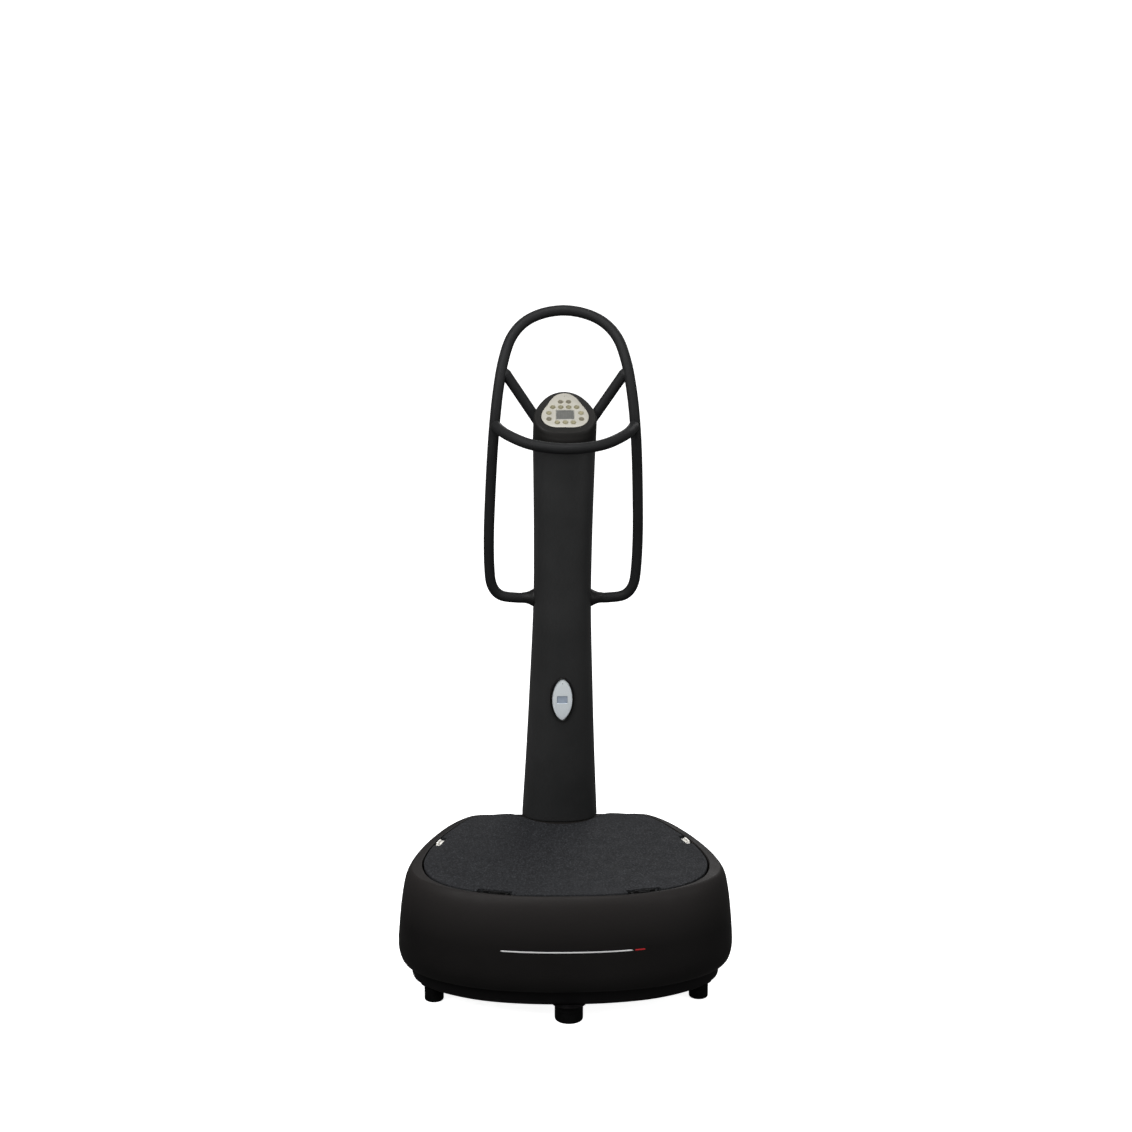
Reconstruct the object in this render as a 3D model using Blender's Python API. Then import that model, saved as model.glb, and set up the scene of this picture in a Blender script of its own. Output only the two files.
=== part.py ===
"""Vibration plate: a sprung standing platform in a wide base, a leaning column, a console and a handle loop.

Units are metres and +Z is up. The user steps on from the -Y side, the column stands at the +Y side, and
the origin is the middle of the footprint, on the floor.
"""

from math import cos, pi, radians, sin

import bmesh
import bpy
from mathutils import Vector

GAP = 0.0003  # left between pieces that touch
WALL = 0.003  # thickness of the moulded shells
SAMPLES = 2  # curve points per stretch of an outline

# Plan of the base at its widest level and of the standing platform: the right half, front to back.
BASE_HALF = (
    (0.0, -0.375), (0.11, -0.368), (0.21, -0.344), (0.298, -0.296), (0.354, -0.235),
    (0.376, -0.165), (0.371, -0.085), (0.351, 0.005), (0.321, 0.095), (0.283, 0.178),
    (0.238, 0.236), (0.18, 0.27), (0.137, 0.316), (0.085, 0.36), (0.0, 0.375),
)
PLATFORM_HALF = (
    (0.0, -0.337), (0.1, -0.332), (0.185, -0.312), (0.255, -0.274), (0.3, -0.218),
    (0.319, -0.14), (0.313, -0.06), (0.294, 0.02), (0.268, 0.09), (0.238, 0.158),
    (0.203, 0.204), (0.125, 0.226), (0.092, 0.2), (0.05, 0.158), (0.0, 0.142),
)
PLATFORM_CLEARANCE = 0.004

# Heights in the base
PAN_BOTTOM_Z = 0.0385
PAN_TOP_Z = 0.1
# Tray under the frame: height and how far its wall stands in from the widest outline
PAN_OUTSIDE = ((PAN_BOTTOM_Z, 0.038), (0.046, 0.031), (PAN_TOP_Z, 0.0265))
PAN_INSIDE = ((PAN_TOP_Z, 0.0295), (0.048, 0.0343), (PAN_BOTTOM_Z + WALL, 0.041))
FRAME_BOTTOM_Z = 0.05
FRAME_TOP_Z = 0.09
DECK_Z = 0.288
DECK_FALL = 0.38  # slope of the deck behind the platform, down towards the back
DECK_FALL_START_Y = 0.225
PLATE_BOTTOM_Z = 0.2745
PLATE_TOP_Z = 0.283
MAT_TOP_Z = 0.2895
# Outer face of the base cover: height and how far it stands in from the widest outline
COVER_PROFILE = (
    (0.079, 0.0105), (0.089, 0.0045), (0.112, 0.0), (0.15, 0.0018), (0.19, 0.0053), (0.22, 0.0088),
    (0.242, 0.0122), (0.262, 0.0162), (0.275, 0.0205), (0.2845, 0.0265), (DECK_Z, 0.0315),
)
WIDEST_LEVEL = 2  # places in the profile: where the cover is widest, and where its shoulder starts
SHOULDER_LEVEL = 6
FRAME_INSETS = (0.035, 0.075)
CROSS_BEAM_YS = (-0.209, 0.0, 0.215)
CROSS_BEAM_HALF_LENGTHS = (0.31, 0.28, 0.175)
CROSS_BEAM_WIDTH = 0.036
POST_BOTTOM_Z = 0.06

# Feet: name, place, radius
FEET = (
    ("foot_front", (0.0, -0.322), 0.031),
    ("foot_left", (-0.296, -0.209), 0.0215),
    ("foot_right", (0.296, -0.209), 0.0215),
    ("foot_rear_left", (-0.165, 0.215), 0.0215),
    ("foot_rear_right", (0.165, 0.215), 0.0215),
)
FOOT_HEIGHT = 0.037
STUD_RADIUS = 0.006
STUD_TOP_Z = 0.1

# Transport wheels
WHEEL_X = 0.092
WHEEL_Y = 0.335
WHEEL_Z = 0.034
WHEEL_RADIUS = 0.027
WHEEL_WIDTH = 0.022
AXLE_RADIUS = 0.004
WELL_HALF_WIDTH = 0.024
WELL_FRONT = 0.033  # from the wheel's axis to the front and back of the well that it turns in
WELL_BACK = 0.06
WELL_TOP_Z = WHEEL_Z + WHEEL_RADIUS + 0.004

# Drive: two motors hang under the platform, each with an eccentric weight at both shaft ends
MOTOR_X = 0.125
MOTOR_Z = 0.19
MOTOR_RADIUS = 0.055
MOTOR_YS = (-0.17, -0.03)
SHAFT_RADIUS = 0.01
WEIGHT_RADIUS = 0.044
WEIGHT_THICKNESS = 0.022
MOTOR_LUG_HALF = (0.045, 0.008)
MOTOR_LUG_INSET_Y = 0.025
CONTROLLER_HALF_WIDTH = 0.052
CONTROLLER_TOP_Z = 0.142
ISOLATORS = (
    ("isolator_front_left", (-0.235, -0.209)),
    ("isolator_front_right", (0.235, -0.209)),
    ("isolator_rear_left", (-0.165, 0.165)),
    ("isolator_rear_right", (0.165, 0.165)),
)
ISOLATOR_RADIUS = 0.024
ISOLATOR_BOTTOM_Z = 0.214
POST_RADIUS = 0.028

# Strap anchors on the platform edge: name, place, direction of the edge, width of the notch in the mat
ANCHORS = (
    ("strap_anchor_front_left", (-0.163, -0.3185), 15.0, 0.075),
    ("strap_anchor_front_right", (0.163, -0.3185), -15.0, 0.075),
    ("strap_anchor_rear_left", (-0.2935, 0.022), 106.0, 0.042),
    ("strap_anchor_rear_right", (0.2935, 0.022), -106.0, 0.042),
)
NOTCH_DEPTH = 0.015
ANCHOR_PLATE_SHARE = 0.4  # half lengths of an anchor's foot plate and lip, as shares of the notch's width
ANCHOR_LIP_SHARE = 0.32

# Column: height, half width, depth in front of its axis, depth behind its axis
COLUMN_FOOT_GAP = 0.0015  # between the deck and the casing that stands on it
COLUMN_TOP_Z = 1.205
COLUMN_SECTIONS = (
    (DECK_Z, 0.0915, 0.088, 0.085),
    (0.38, 0.0865, 0.086, 0.081),
    (0.48, 0.0815, 0.082, 0.076),
    (0.62, 0.0755, 0.078, 0.071),
    (0.82, 0.0682, 0.071, 0.065),
    (1.0, 0.068, 0.066, 0.061),
    (COLUMN_TOP_Z, 0.0715, 0.062, 0.058),
)
COLUMN_FOOT_Y = 0.248
COLUMN_LEAN = 0.176  # how far the axis comes forward for each metre of height
COLUMN_SQUARENESS = 2.4
MAST_HALF_WIDTH = 0.035
MAST_HALF_DEPTH = 0.022
MAST_WALL = 0.004
MAST_TOP_Z = 1.246
MAST_FLANGE = (0.027, 0.008)  # how far it stands out, and its thickness
MAST_HOLE_MARGINS = (0.003, 0.006)  # room round the mast in the deck, across and along
CABLE_EXIT_Z = 0.122
CABLE_RADIUS = 0.0035

# Console: its face is a plane that leans back from the user
FACE_CENTRE = Vector((0.0, 0.055, 1.288))
FACE_TILT = radians(38)
FACE_UP = Vector((0.0, cos(FACE_TILT), sin(FACE_TILT)))
FACE_OUT = Vector((0.0, -sin(FACE_TILT), cos(FACE_TILT)))
FACE_SIDES = 36
# Panel and housing are rounded triangles that point up: mean radius, and how far the corners stand out
PANEL_RADIUS = 0.0536
PANEL_CORNERS = 0.12
PANEL_STRETCH = (0.95, 1.04)  # across and up
HOUSING_RADIUS = 0.0694
HOUSING_CORNERS = 0.06
HOUSING_DROP = 0.005
PANEL_THICKNESS = 0.0025
SEAT_DEPTH = 0.003
# Rows of push buttons: name, distance up the face, distances across it
BUTTON_ROWS = (
    ("top", 0.0335, (-0.009, 0.009)),
    ("upper", 0.0159, (-0.027, -0.009, 0.009, 0.027)),
    ("side", -0.0033, (-0.0362, 0.0362)),
    ("lower", -0.0227, (-0.0366, 0.0366)),
    ("bottom", -0.0336, (-0.018, 0.0, 0.018)),
)
BUTTON_RADIUS = 0.0051
BUTTON_HOLE_RADIUS = 0.0055
BUTTON_HEIGHTS = (-0.0075, 0.0012)
BOARD_RADIUS = 0.0473
BOARD_HEIGHTS = (-0.0135, -0.0119)
LCD_CENTRE_UP = -0.0087
LCD_HALF = (0.021, 0.0153)

# Small display low on the column
BADGE_Z = 0.604
BADGE_HALF = (0.0285, 0.0565)
BADGE_TILT = radians(8.5)
BADGE_AHEAD = 0.0785  # in front of the column's axis
BADGE_RIM = 0.0045
BADGE_WINDOW_HALF = (0.0125, 0.0095)

# Handle: centre line of the right half of the loop, from the mast to the top
TUBE_RADIUS = 0.0122
ARM_Z = 0.843
ARM_Y = 0.146
LOOP_HALF = (
    (MAST_HALF_WIDTH + 0.0005, ARM_Y, ARM_Z), (0.075, ARM_Y, ARM_Z), (0.108, ARM_Y, ARM_Z),
    (0.145, 0.142, 0.85), (0.165, 0.134, 0.875), (0.171, 0.122, 0.92), (0.172, 0.1, 1.0),
    (0.169, 0.077, 1.09), (0.164, 0.056, 1.19), (0.158, 0.048, 1.27), (0.15, 0.056, 1.34),
    (0.139, 0.075, 1.4), (0.1215, 0.1, 1.45), (0.092, 0.125, 1.484), (0.0505, 0.141, 1.504),
    (0.0, 0.146, 1.5115),
)
FRONT_BAR_HALF = (
    (0.159, 0.048, 1.26), (0.132, -0.022, 1.245), (0.076, -0.076, 1.228), (0.0, -0.095, 1.2215),
)
BRACE_LINE = ((0.1425, 0.069, 1.386), (MAST_HALF_WIDTH + 0.0005, 0.092, 1.227))
BRACE_RADIUS = 0.012
COLLAR_START_X = 0.0682  # just outside the column's side
COLLAR_PROFILE = ((0.0, 0.021), (0.003, 0.0205), (0.009, 0.0165), (0.019, 0.0146))

# Mains inlet and rocker switch at the back of the base
INLET_CENTRE = Vector((0.0, 0.3725, 0.165))
INLET_HALF = (0.036, 0.016)
ROCKER_X = 0.021
SOCKET_X = -0.012
SOCKET_HALF = (0.0125, 0.009)
ROCKER_RECESS_HALF = (0.008, 0.0125)
ROCKER_HALF_THICKNESS = 0.0072
PIN_PLACES = ((0.0, 0.0035), (-0.007, -0.0025), (0.007, -0.0025))
PIN_HALF = (0.001, 0.002)
THROUGH = 0.03  # how far cutters reach past a thin wall


def clear_scene():
    for old in list(bpy.data.objects):
        bpy.data.objects.remove(old, do_unlink=True)


def material(name, colour, roughness, metallic=0.0):
    made = bpy.data.materials.new(name)
    made.use_nodes = True
    shader = made.node_tree.nodes["Principled BSDF"]
    shader.inputs["Base Color"].default_value = (*colour, 1.0)
    shader.inputs["Roughness"].default_value = roughness
    shader.inputs["Metallic"].default_value = metallic
    return made


# ---------------------------------------------------------------- curves and outlines


def smooth(points, steps, closed=False):
    """Points on a smooth curve through the given ones, with the given number of steps between each two."""
    points = [Vector(p) for p in points]
    count = len(points)
    last = count if closed else count - 1
    found = []
    for i in range(last):
        if closed:
            a, b, c, d = (points[(i + k) % count] for k in (-1, 0, 1, 2))
        else:
            a, b, c, d = (points[min(max(i + k, 0), count - 1)] for k in (-1, 0, 1, 2))
        for step in range(steps):
            t = step / steps
            found.append(
                0.5 * (2 * b + (c - a) * t + (2 * a - 5 * b + 4 * c - d) * t**2)
                + 0.5 * (3 * b - a - 3 * c + d) * t**3
            )
    return found if closed else found + [points[-1]]


def whole_path(half):
    """A path across the middle from its right half, which ends on the middle plane."""
    right = [Vector(p) for p in half]
    left = [Vector((-p.x, p.y, p.z)) for p in right[-2::-1]]
    return right + left


def plan_outline(half):
    """A closed outline in plan from its right half, anticlockwise from the front."""
    right = [Vector((x, y, 0.0)) for x, y in half]
    left = [Vector((-p.x, p.y, 0.0)) for p in right[-2:0:-1]]
    return smooth(right + left, SAMPLES, closed=True)


def inset(outline, distance):
    """The outline moved towards its inside."""
    count = len(outline)
    moved = []
    for i, point in enumerate(outline):
        along = (outline[(i + 1) % count] - outline[i - 1]).normalized()
        moved.append(point + Vector((-along.y, along.x, 0.0)) * distance)
    return moved


def at_height(outline, z):
    return [Vector((p.x, p.y, z)) for p in outline]


def column_axis_y(z):
    return COLUMN_FOOT_Y - (z - DECK_Z) * COLUMN_LEAN


def column_point(angle, section, thinner):
    z, half_width, front, rear = section
    power = 2 / COLUMN_SQUARENESS
    across = abs(cos(angle)) ** power * (half_width - thinner) * (1 if cos(angle) >= 0 else -1)
    if sin(angle) >= 0:
        along = abs(sin(angle)) ** power * (rear - thinner)
    else:
        along = -abs(sin(angle)) ** power * (front - thinner)
    return Vector((across, column_axis_y(z) + along, z))


def face_point(across, up, out):
    """A point given by its place on the console's face and its height above it."""
    return FACE_CENTRE + Vector((across, 0.0, 0.0)) + FACE_UP * up + FACE_OUT * out


def three_cornered(radius, corners, stretch, drop, out, sides=FACE_SIDES):
    """A ring on the console's face, or above it: a rounded triangle that points up."""
    ring = []
    for i in range(sides):
        angle = 2 * pi * i / sides
        reach = radius * (1 + corners * cos(3 * (angle - pi / 2)))
        ring.append(face_point(reach * cos(angle) * stretch[0], reach * sin(angle) * stretch[1] - drop, out))
    return ring


def panel_ring(radius, out, sides=FACE_SIDES):
    return three_cornered(radius, PANEL_CORNERS, PANEL_STRETCH, 0.0, out, sides)


def lip_ring(scale, out):
    return three_cornered(HOUSING_RADIUS * scale, HOUSING_CORNERS, (1.0, 1.0), HOUSING_DROP, out)


# ---------------------------------------------------------------- solids


def lofted(rings, tube=False):
    """A closed body through rings of equal length: capped at both ends or, as a tube, joined end to end."""
    body = bmesh.new()
    loops = [[body.verts.new(p) for p in ring] for ring in rings]
    count = len(loops[0])
    pairs = list(zip(loops, loops[1:]))
    if tube:
        pairs.append((loops[-1], loops[0]))
    else:
        body.faces.new(loops[0][::-1])
        body.faces.new(loops[-1])
    for lower, upper in pairs:
        for i in range(count):
            j = (i + 1) % count
            body.faces.new((lower[i], lower[j], upper[j], upper[i]))
    bmesh.ops.recalc_face_normals(body, faces=body.faces)
    if body.calc_volume(signed=True) < 0:
        bmesh.ops.reverse_faces(body, faces=body.faces)
    return body


def swept(path, radius, sides=10):
    """A round bar along a path."""
    path = [Vector(p) for p in path]
    across = None
    rings = []
    for i, point in enumerate(path):
        along = (path[min(i + 1, len(path) - 1)] - path[max(i - 1, 0)]).normalized()
        if across is None:
            helper = Vector((0, 0, 1)) if abs(along.z) < 0.9 else Vector((0, 1, 0))
            across = along.cross(helper).normalized()
        across = (across - along * across.dot(along)).normalized()
        beside = along.cross(across)
        turns = [2 * pi * k / sides for k in range(sides)]
        rings.append([point + (across * cos(a) + beside * sin(a)) * radius for a in turns])
    return lofted(rings)


def turned(profile, start, direction, sides=16, tube=False):
    """A round body about a line: the profile holds distances along it with their radii."""
    direction = Vector(direction).normalized()
    helper = Vector((0, 0, 1)) if abs(direction.z) < 0.9 else Vector((0, 1, 0))
    across = direction.cross(helper).normalized()
    beside = direction.cross(across)
    turns = [2 * pi * k / sides for k in range(sides)]
    rings = []
    for distance, radius in profile:
        centre = Vector(start) + direction * distance
        rings.append([centre + (across * cos(a) + beside * sin(a)) * radius for a in turns])
    return lofted(rings, tube)


def block(low, high):
    (x0, y0, z0), (x1, y1, z1) = low, high
    ring = ((x0, y0), (x1, y0), (x1, y1), (x0, y1))
    return lofted([[Vector((x, y, z)) for x, y in ring] for z in (z0, z1)])


def joined(*bodies):
    """Several closed bodies as one mesh, used for cutters."""
    whole = bmesh.new()
    for body in bodies:
        piece = bpy.data.meshes.new("piece")
        body.to_mesh(piece)
        whole.from_mesh(piece)
        bpy.data.meshes.remove(piece)
    return whole


def place(name, body, finish=None, origin=(0.0, 0.0, 0.0)):
    """Turns a body in world coordinates into an object with its origin where asked."""
    bmesh.ops.translate(body, verts=body.verts, vec=-Vector(origin))
    mesh = bpy.data.meshes.new(name)
    body.to_mesh(mesh)
    body.free()
    made = bpy.data.objects.new(name, mesh)
    made.location = origin
    bpy.context.scene.collection.objects.link(made)
    mesh.shade_smooth()
    mesh.set_sharp_from_angle(angle=radians(35))
    if finish:
        mesh.materials.append(finish)
    return made


def helper(name, body):
    made = place(name, body)
    made.hide_render = True
    made.display_type = "WIRE"
    return made


def combine(target, other, operation):
    step = target.modifiers.new(f"{operation.lower()}_{other.name}", "BOOLEAN")
    step.operation = operation
    step.solver = "EXACT"
    step.object = other


def cut(target, cutter):
    combine(target, cutter, "DIFFERENCE")


def add(target, other):
    combine(target, other, "UNION")


# ---------------------------------------------------------------- base


def base_frame(steel):
    outline = plan_outline(BASE_HALF)
    outer, inner = (inset(outline, d) for d in FRAME_INSETS)
    rings = [at_height(outer, FRAME_BOTTOM_Z), at_height(outer, FRAME_TOP_Z)]
    rings += [at_height(inner, FRAME_TOP_Z), at_height(inner, FRAME_BOTTOM_Z)]
    frame = place("base_frame", lofted(rings, tube=True), steel)
    for i, (y, reach) in enumerate(zip(CROSS_BEAM_YS, CROSS_BEAM_HALF_LENGTHS)):
        half = CROSS_BEAM_WIDTH / 2
        low = (-reach, y - half, FRAME_BOTTOM_Z + 0.0005)
        high = (reach, y + half, FRAME_TOP_Z - 0.0005)
        add(frame, helper(f"cross_beam_{i}", block(low, high)))
    for name, (x, y) in ISOLATORS:
        profile = ((0.0, POST_RADIUS), (ISOLATOR_BOTTOM_Z - GAP - POST_BOTTOM_Z, POST_RADIUS))
        add(frame, helper(f"post_{name}", turned(profile, (x, y, POST_BOTTOM_Z), (0, 0, 1), sides=16)))
    cut(frame, helper("stud_holes", stud_cutters(STUD_RADIUS + 0.0006)))
    cut(frame, helper("frame_wheel_wells", wheel_wells()))
    return frame


def stud_cutters(radius):
    profile = ((0.0, radius), (2 * STUD_TOP_Z, radius))
    return joined(*(turned(profile, (x, y, 0.0), (0, 0, 1), 16) for _, (x, y), _ in FEET))


def wheel_wells():
    wells = []
    for side in (-1, 1):
        x = side * WHEEL_X
        low = (x - WELL_HALF_WIDTH, WHEEL_Y - WELL_FRONT, 0.0)
        high = (x + WELL_HALF_WIDTH, WHEEL_Y + WELL_BACK, WELL_TOP_Z)
        wells.append(block(low, high))
    return joined(*wells)


def underpan(plastic):
    outline = plan_outline(BASE_HALF)
    rings = [at_height(inset(outline, d), z) for z, d in PAN_OUTSIDE + PAN_INSIDE]
    pan = place("underpan", lofted(rings), plastic)
    cut(pan, helper("pan_stud_holes", stud_cutters(STUD_RADIUS + 0.002)))
    cut(pan, helper("pan_wheel_wells", wheel_wells()))
    return pan


def deck_drop(y):
    """How much lower the deck is there than round the platform."""
    return max(y - DECK_FALL_START_Y, 0.0) * DECK_FALL


def fallen(ring):
    """The ring lowered towards the back with the deck, by less the nearer it is to the cover's widest level."""
    level = COVER_PROFILE[WIDEST_LEVEL][0]
    lowered = []
    for p in ring:
        share = min(max((p.z - level) / (DECK_Z - level), 0.0), 1.0)
        lowered.append(p - Vector((0.0, 0.0, deck_drop(p.y) * share)))
    return lowered


def deck_bend(inner, outer):
    """The ring between the deck's two edges where it starts to fall."""
    bend = []
    for a, b in zip(inner, outer):
        share = (DECK_FALL_START_Y - a.y) / (b.y - a.y) if b.y != a.y else 0.5
        bend.append(a.lerp(b, min(max(share, 0.15), 0.85)))
    return bend


def base_cover(plastic):
    outline = plan_outline(BASE_HALF)
    opening = inset(plan_outline(PLATFORM_HALF), -PLATFORM_CLEARANCE)
    bend = deck_bend(opening, inset(outline, COVER_PROFILE[-1][1]))
    rings = [at_height(inset(outline, d), z) for z, d in COVER_PROFILE]
    rings += [at_height(bend, DECK_Z), at_height(opening, DECK_Z)]
    rings += [at_height(opening, DECK_Z - WALL), at_height(bend, DECK_Z - WALL)]
    rings += [at_height(inset(outline, d + WALL), z - WALL) for z, d in COVER_PROFILE[:SHOULDER_LEVEL:-1]]
    rings += [at_height(inset(outline, d + WALL), z) for z, d in COVER_PROFILE[SHOULDER_LEVEL::-1]]
    cover = place("base_cover", lofted([fallen(ring) for ring in rings], tube=True), plastic)
    y = column_axis_y(DECK_Z)
    across, along = MAST_HALF_WIDTH + MAST_HOLE_MARGINS[0], MAST_HALF_DEPTH + MAST_HOLE_MARGINS[1]
    low = (-across, y - along, DECK_Z - THROUGH)
    high = (across, y + along, DECK_Z + THROUGH)
    cut(cover, helper("mast_hole", block(low, high)))
    cut(cover, helper("inlet_hole", inlet_block(0.0005, -THROUGH, THROUGH)))
    return cover


def foot(name, spot, radius, rubber):
    x, y = spot
    edge = 0.003
    profile = (
        (0.0, radius - edge), (edge, radius), (FOOT_HEIGHT - edge, radius), (FOOT_HEIGHT, radius - edge),
        (FOOT_HEIGHT, STUD_RADIUS), (STUD_TOP_Z, STUD_RADIUS),
    )
    return place(name, turned(profile, (x, y, 0.0), (0, 0, 1)), rubber, origin=(x, y, 0.0))


def wheels(rubber, steel):
    half = WHEEL_WIDTH / 2
    edge = 0.004
    bore = AXLE_RADIUS + 0.0004
    profile = (
        (-half, WHEEL_RADIUS - edge), (edge - half, WHEEL_RADIUS), (half - edge, WHEEL_RADIUS),
        (half, WHEEL_RADIUS - edge), (half, bore), (-half, bore),
    )
    for side, name in ((-1, "transport_wheel_left"), (1, "transport_wheel_right")):
        centre = (side * WHEEL_X, WHEEL_Y, WHEEL_Z)
        place(name, turned(profile, centre, (1, 0, 0), tube=True), rubber, origin=centre)
    room = 0.006
    reach = WHEEL_X + half + room
    rod = turned(((0.0, AXLE_RADIUS), (2 * reach, AXLE_RADIUS)), (-reach, WHEEL_Y, WHEEL_Z), (1, 0, 0), 12)
    axle = place("wheel_axle", rod, steel)
    for side in (-1, 1):
        x = side * (WHEEL_X - half - room)
        low = (x - AXLE_RADIUS, WHEEL_Y - 0.01, WHEEL_Z - 2 * AXLE_RADIUS)
        high = (x + AXLE_RADIUS, WHEEL_Y + 0.01, WELL_TOP_Z - GAP)
        add(axle, helper(f"axle_lug_{'left' if side < 0 else 'right'}", block(low, high)))
    return axle


def inlet_block(margin, back, front):
    (x, z), y = INLET_HALF, INLET_CENTRE.y
    low = (-x - margin, y + back, INLET_CENTRE.z - z - margin)
    high = (x + margin, y + front, INLET_CENTRE.z + z + margin)
    return block(low, high)


def power_inlet(plastic, red):
    """Mains socket and rocker switch in one module; the rocker turns on a cross pin in its own recess."""
    module = place("power_inlet", inlet_block(0.0, -0.034, 0.002), plastic)
    y, z = INLET_CENTRE.y, INLET_CENTRE.z
    recesses = []
    for x, (half_x, half_z), depth in ((SOCKET_X, SOCKET_HALF, 0.018), (ROCKER_X, ROCKER_RECESS_HALF, 0.014)):
        recesses.append(block((x - half_x, y - depth, z - half_z), (x + half_x, y + THROUGH, z + half_z)))
    cut(module, helper("module_recesses", joined(*recesses)))
    for i, (dx, dz) in enumerate(PIN_PLACES):
        x = SOCKET_X + dx
        low = (x - PIN_HALF[0], y - 0.02, z + dz - PIN_HALF[1])
        high = (x + PIN_HALF[0], y - 0.004, z + dz + PIN_HALF[1])
        add(module, helper(f"contact_pin_{i}", block(low, high)))
    pivot = Vector((ROCKER_X, y - 0.006, z))
    half = ROCKER_HALF_THICKNESS
    # Side view of the rocker, from its pivot: up, and out from the recess
    outline = (
        (-0.0105, 0.0085), (-0.004, 0.0062), (0.004, 0.0062), (0.0105, 0.0085),
        (0.006, -0.002), (-0.006, -0.002),
    )
    rings = [[pivot + Vector((x, dy, dz)) for dz, dy in outline] for x in (-half, half)]
    return place("power_switch", lofted(rings), red, origin=pivot)


def controller_box(metal):
    """Stands on the front and middle cross beams, between the motors."""
    low = (-CONTROLLER_HALF_WIDTH, CROSS_BEAM_YS[0] - 0.01, FRAME_TOP_Z + GAP)
    high = (CONTROLLER_HALF_WIDTH, CROSS_BEAM_YS[1] + 0.015, CONTROLLER_TOP_Z)
    return place("controller_box", block(low, high), metal)


# ---------------------------------------------------------------- platform and drive


def platform(steel, rubber):
    outline = plan_outline(PLATFORM_HALF)
    plate = [at_height(outline, z) for z in (PLATE_BOTTOM_Z, PLATE_TOP_Z)]
    place("vibration_plate", lofted(plate), steel)
    edge = 0.0015
    levels = ((PLATE_TOP_Z + GAP, 0.0), (MAT_TOP_Z - edge, 0.0), (MAT_TOP_Z, edge))
    mat = place("platform_mat", lofted([at_height(inset(outline, d), z) for z, d in levels]), rubber)
    for name, spot, turn, width in ANCHORS:
        notch = upright_block(spot, turn, width / 2, NOTCH_DEPTH, PLATE_TOP_Z - 0.01, MAT_TOP_Z + 0.01)
        cut(mat, helper(f"notch_{name}", notch))


def upright_block(spot, turn, half_along, half_across, z0, z1):
    along = Vector((cos(radians(turn)), -sin(radians(turn)), 0.0))
    across = Vector((-along.y, along.x, 0.0))
    corners = ((-1, -1), (1, -1), (1, 1), (-1, 1))
    middle = Vector((*spot, 0.0))
    flat = [middle + along * half_along * i + across * half_across * j for i, j in corners]
    return lofted([at_height(flat, z0), at_height(flat, z1)])


def strap_anchors(dark, bright):
    """A tab for a hand strap in each notch: a low foot with a raised lip along the platform's edge."""
    bottom = PLATE_TOP_Z + GAP
    for name, spot, turn, width in ANCHORS:
        finish = bright if "rear" in name else dark
        foot_spot, lip_spot = (inward_of(spot, turn, distance) for distance in (0.0075, 0.004))
        half_plate, half_lip = width * ANCHOR_PLATE_SHARE, width * ANCHOR_LIP_SHARE
        tab = place(name, upright_block(foot_spot, turn, half_plate, 0.006, bottom, bottom + 0.003), finish)
        lip = upright_block(lip_spot, turn, half_lip, 0.002, bottom + 0.0005, bottom + 0.0075)
        add(tab, helper(f"lip_{name}", lip))


def inward_of(spot, turn, distance):
    """A spot on the platform's edge moved in across that edge."""
    return (spot[0] + sin(radians(turn)) * distance, spot[1] + cos(radians(turn)) * distance)


def motors(paint, steel):
    for side, word in ((-1, "left"), (1, "right")):
        x = side * MOTOR_X
        front, back = MOTOR_YS
        length = back - front
        chamfer = 0.008
        profile = (
            (0.0, MOTOR_RADIUS - chamfer), (chamfer, MOTOR_RADIUS), (length - chamfer, MOTOR_RADIUS),
            (length, MOTOR_RADIUS - chamfer), (length, SHAFT_RADIUS + 0.0006), (0.0, SHAFT_RADIUS + 0.0006),
        )
        housing = place(f"motor_{word}", turned(profile, (x, front, MOTOR_Z), (0, 1, 0), 32, tube=True), paint)
        half_width, half_depth = MOTOR_LUG_HALF
        for i, y in enumerate((front + MOTOR_LUG_INSET_Y, back - MOTOR_LUG_INSET_Y)):
            low = (x - half_width, y - half_depth, MOTOR_Z + 0.02)
            high = (x + half_width, y + half_depth, PLATE_BOTTOM_Z - GAP)
            lug = helper(f"motor_lug_{word}_{i}", block(low, high))
            bore = turned(((0.0, 0.03), (0.05, 0.03)), (x, y - 0.025, MOTOR_Z), (0, 1, 0), 24)
            cut(lug, helper(f"motor_lug_bore_{word}_{i}", bore))
            add(housing, lug)
        rotor(word, x, steel)


def rotor(word, x, steel):
    """Shaft with a half-round weight beyond each end of the motor; the weights hang down at rest."""
    front, back = MOTOR_YS
    reach = WEIGHT_THICKNESS + 0.008
    shaft = ((0.0, SHAFT_RADIUS), (back - front + 2 * reach, SHAFT_RADIUS))
    rod = turned(shaft, (x, front - reach, MOTOR_Z), (0, 1, 0), 16)
    body = place(f"rotor_{word}", rod, steel, origin=(x, 0.0, MOTOR_Z))
    turns = [pi + pi * k / 12 for k in range(13)]
    outline = [(WEIGHT_RADIUS * cos(a), WEIGHT_RADIUS * sin(a)) for a in turns]
    outline += [(0.016, 0.014), (-0.016, 0.014)]
    for end, y in (("front", front - 0.003 - WEIGHT_THICKNESS), ("back", back + 0.003)):
        levels = (y, y + WEIGHT_THICKNESS)
        rings = [[Vector((x + dx, level, MOTOR_Z + dz)) for dx, dz in outline] for level in levels]
        add(body, helper(f"weight_{word}_{end}", lofted(rings)))


def isolators(rubber):
    top = PLATE_BOTTOM_Z - GAP
    height = top - ISOLATOR_BOTTOM_Z
    for name, (x, y) in ISOLATORS:
        waist = ISOLATOR_RADIUS * 0.86
        profile = ((0.0, ISOLATOR_RADIUS), (height * 0.5, waist), (height, ISOLATOR_RADIUS))
        place(name, turned(profile, (x, y, ISOLATOR_BOTTOM_Z), (0, 0, 1), 16), rubber)


# ---------------------------------------------------------------- column


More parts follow.
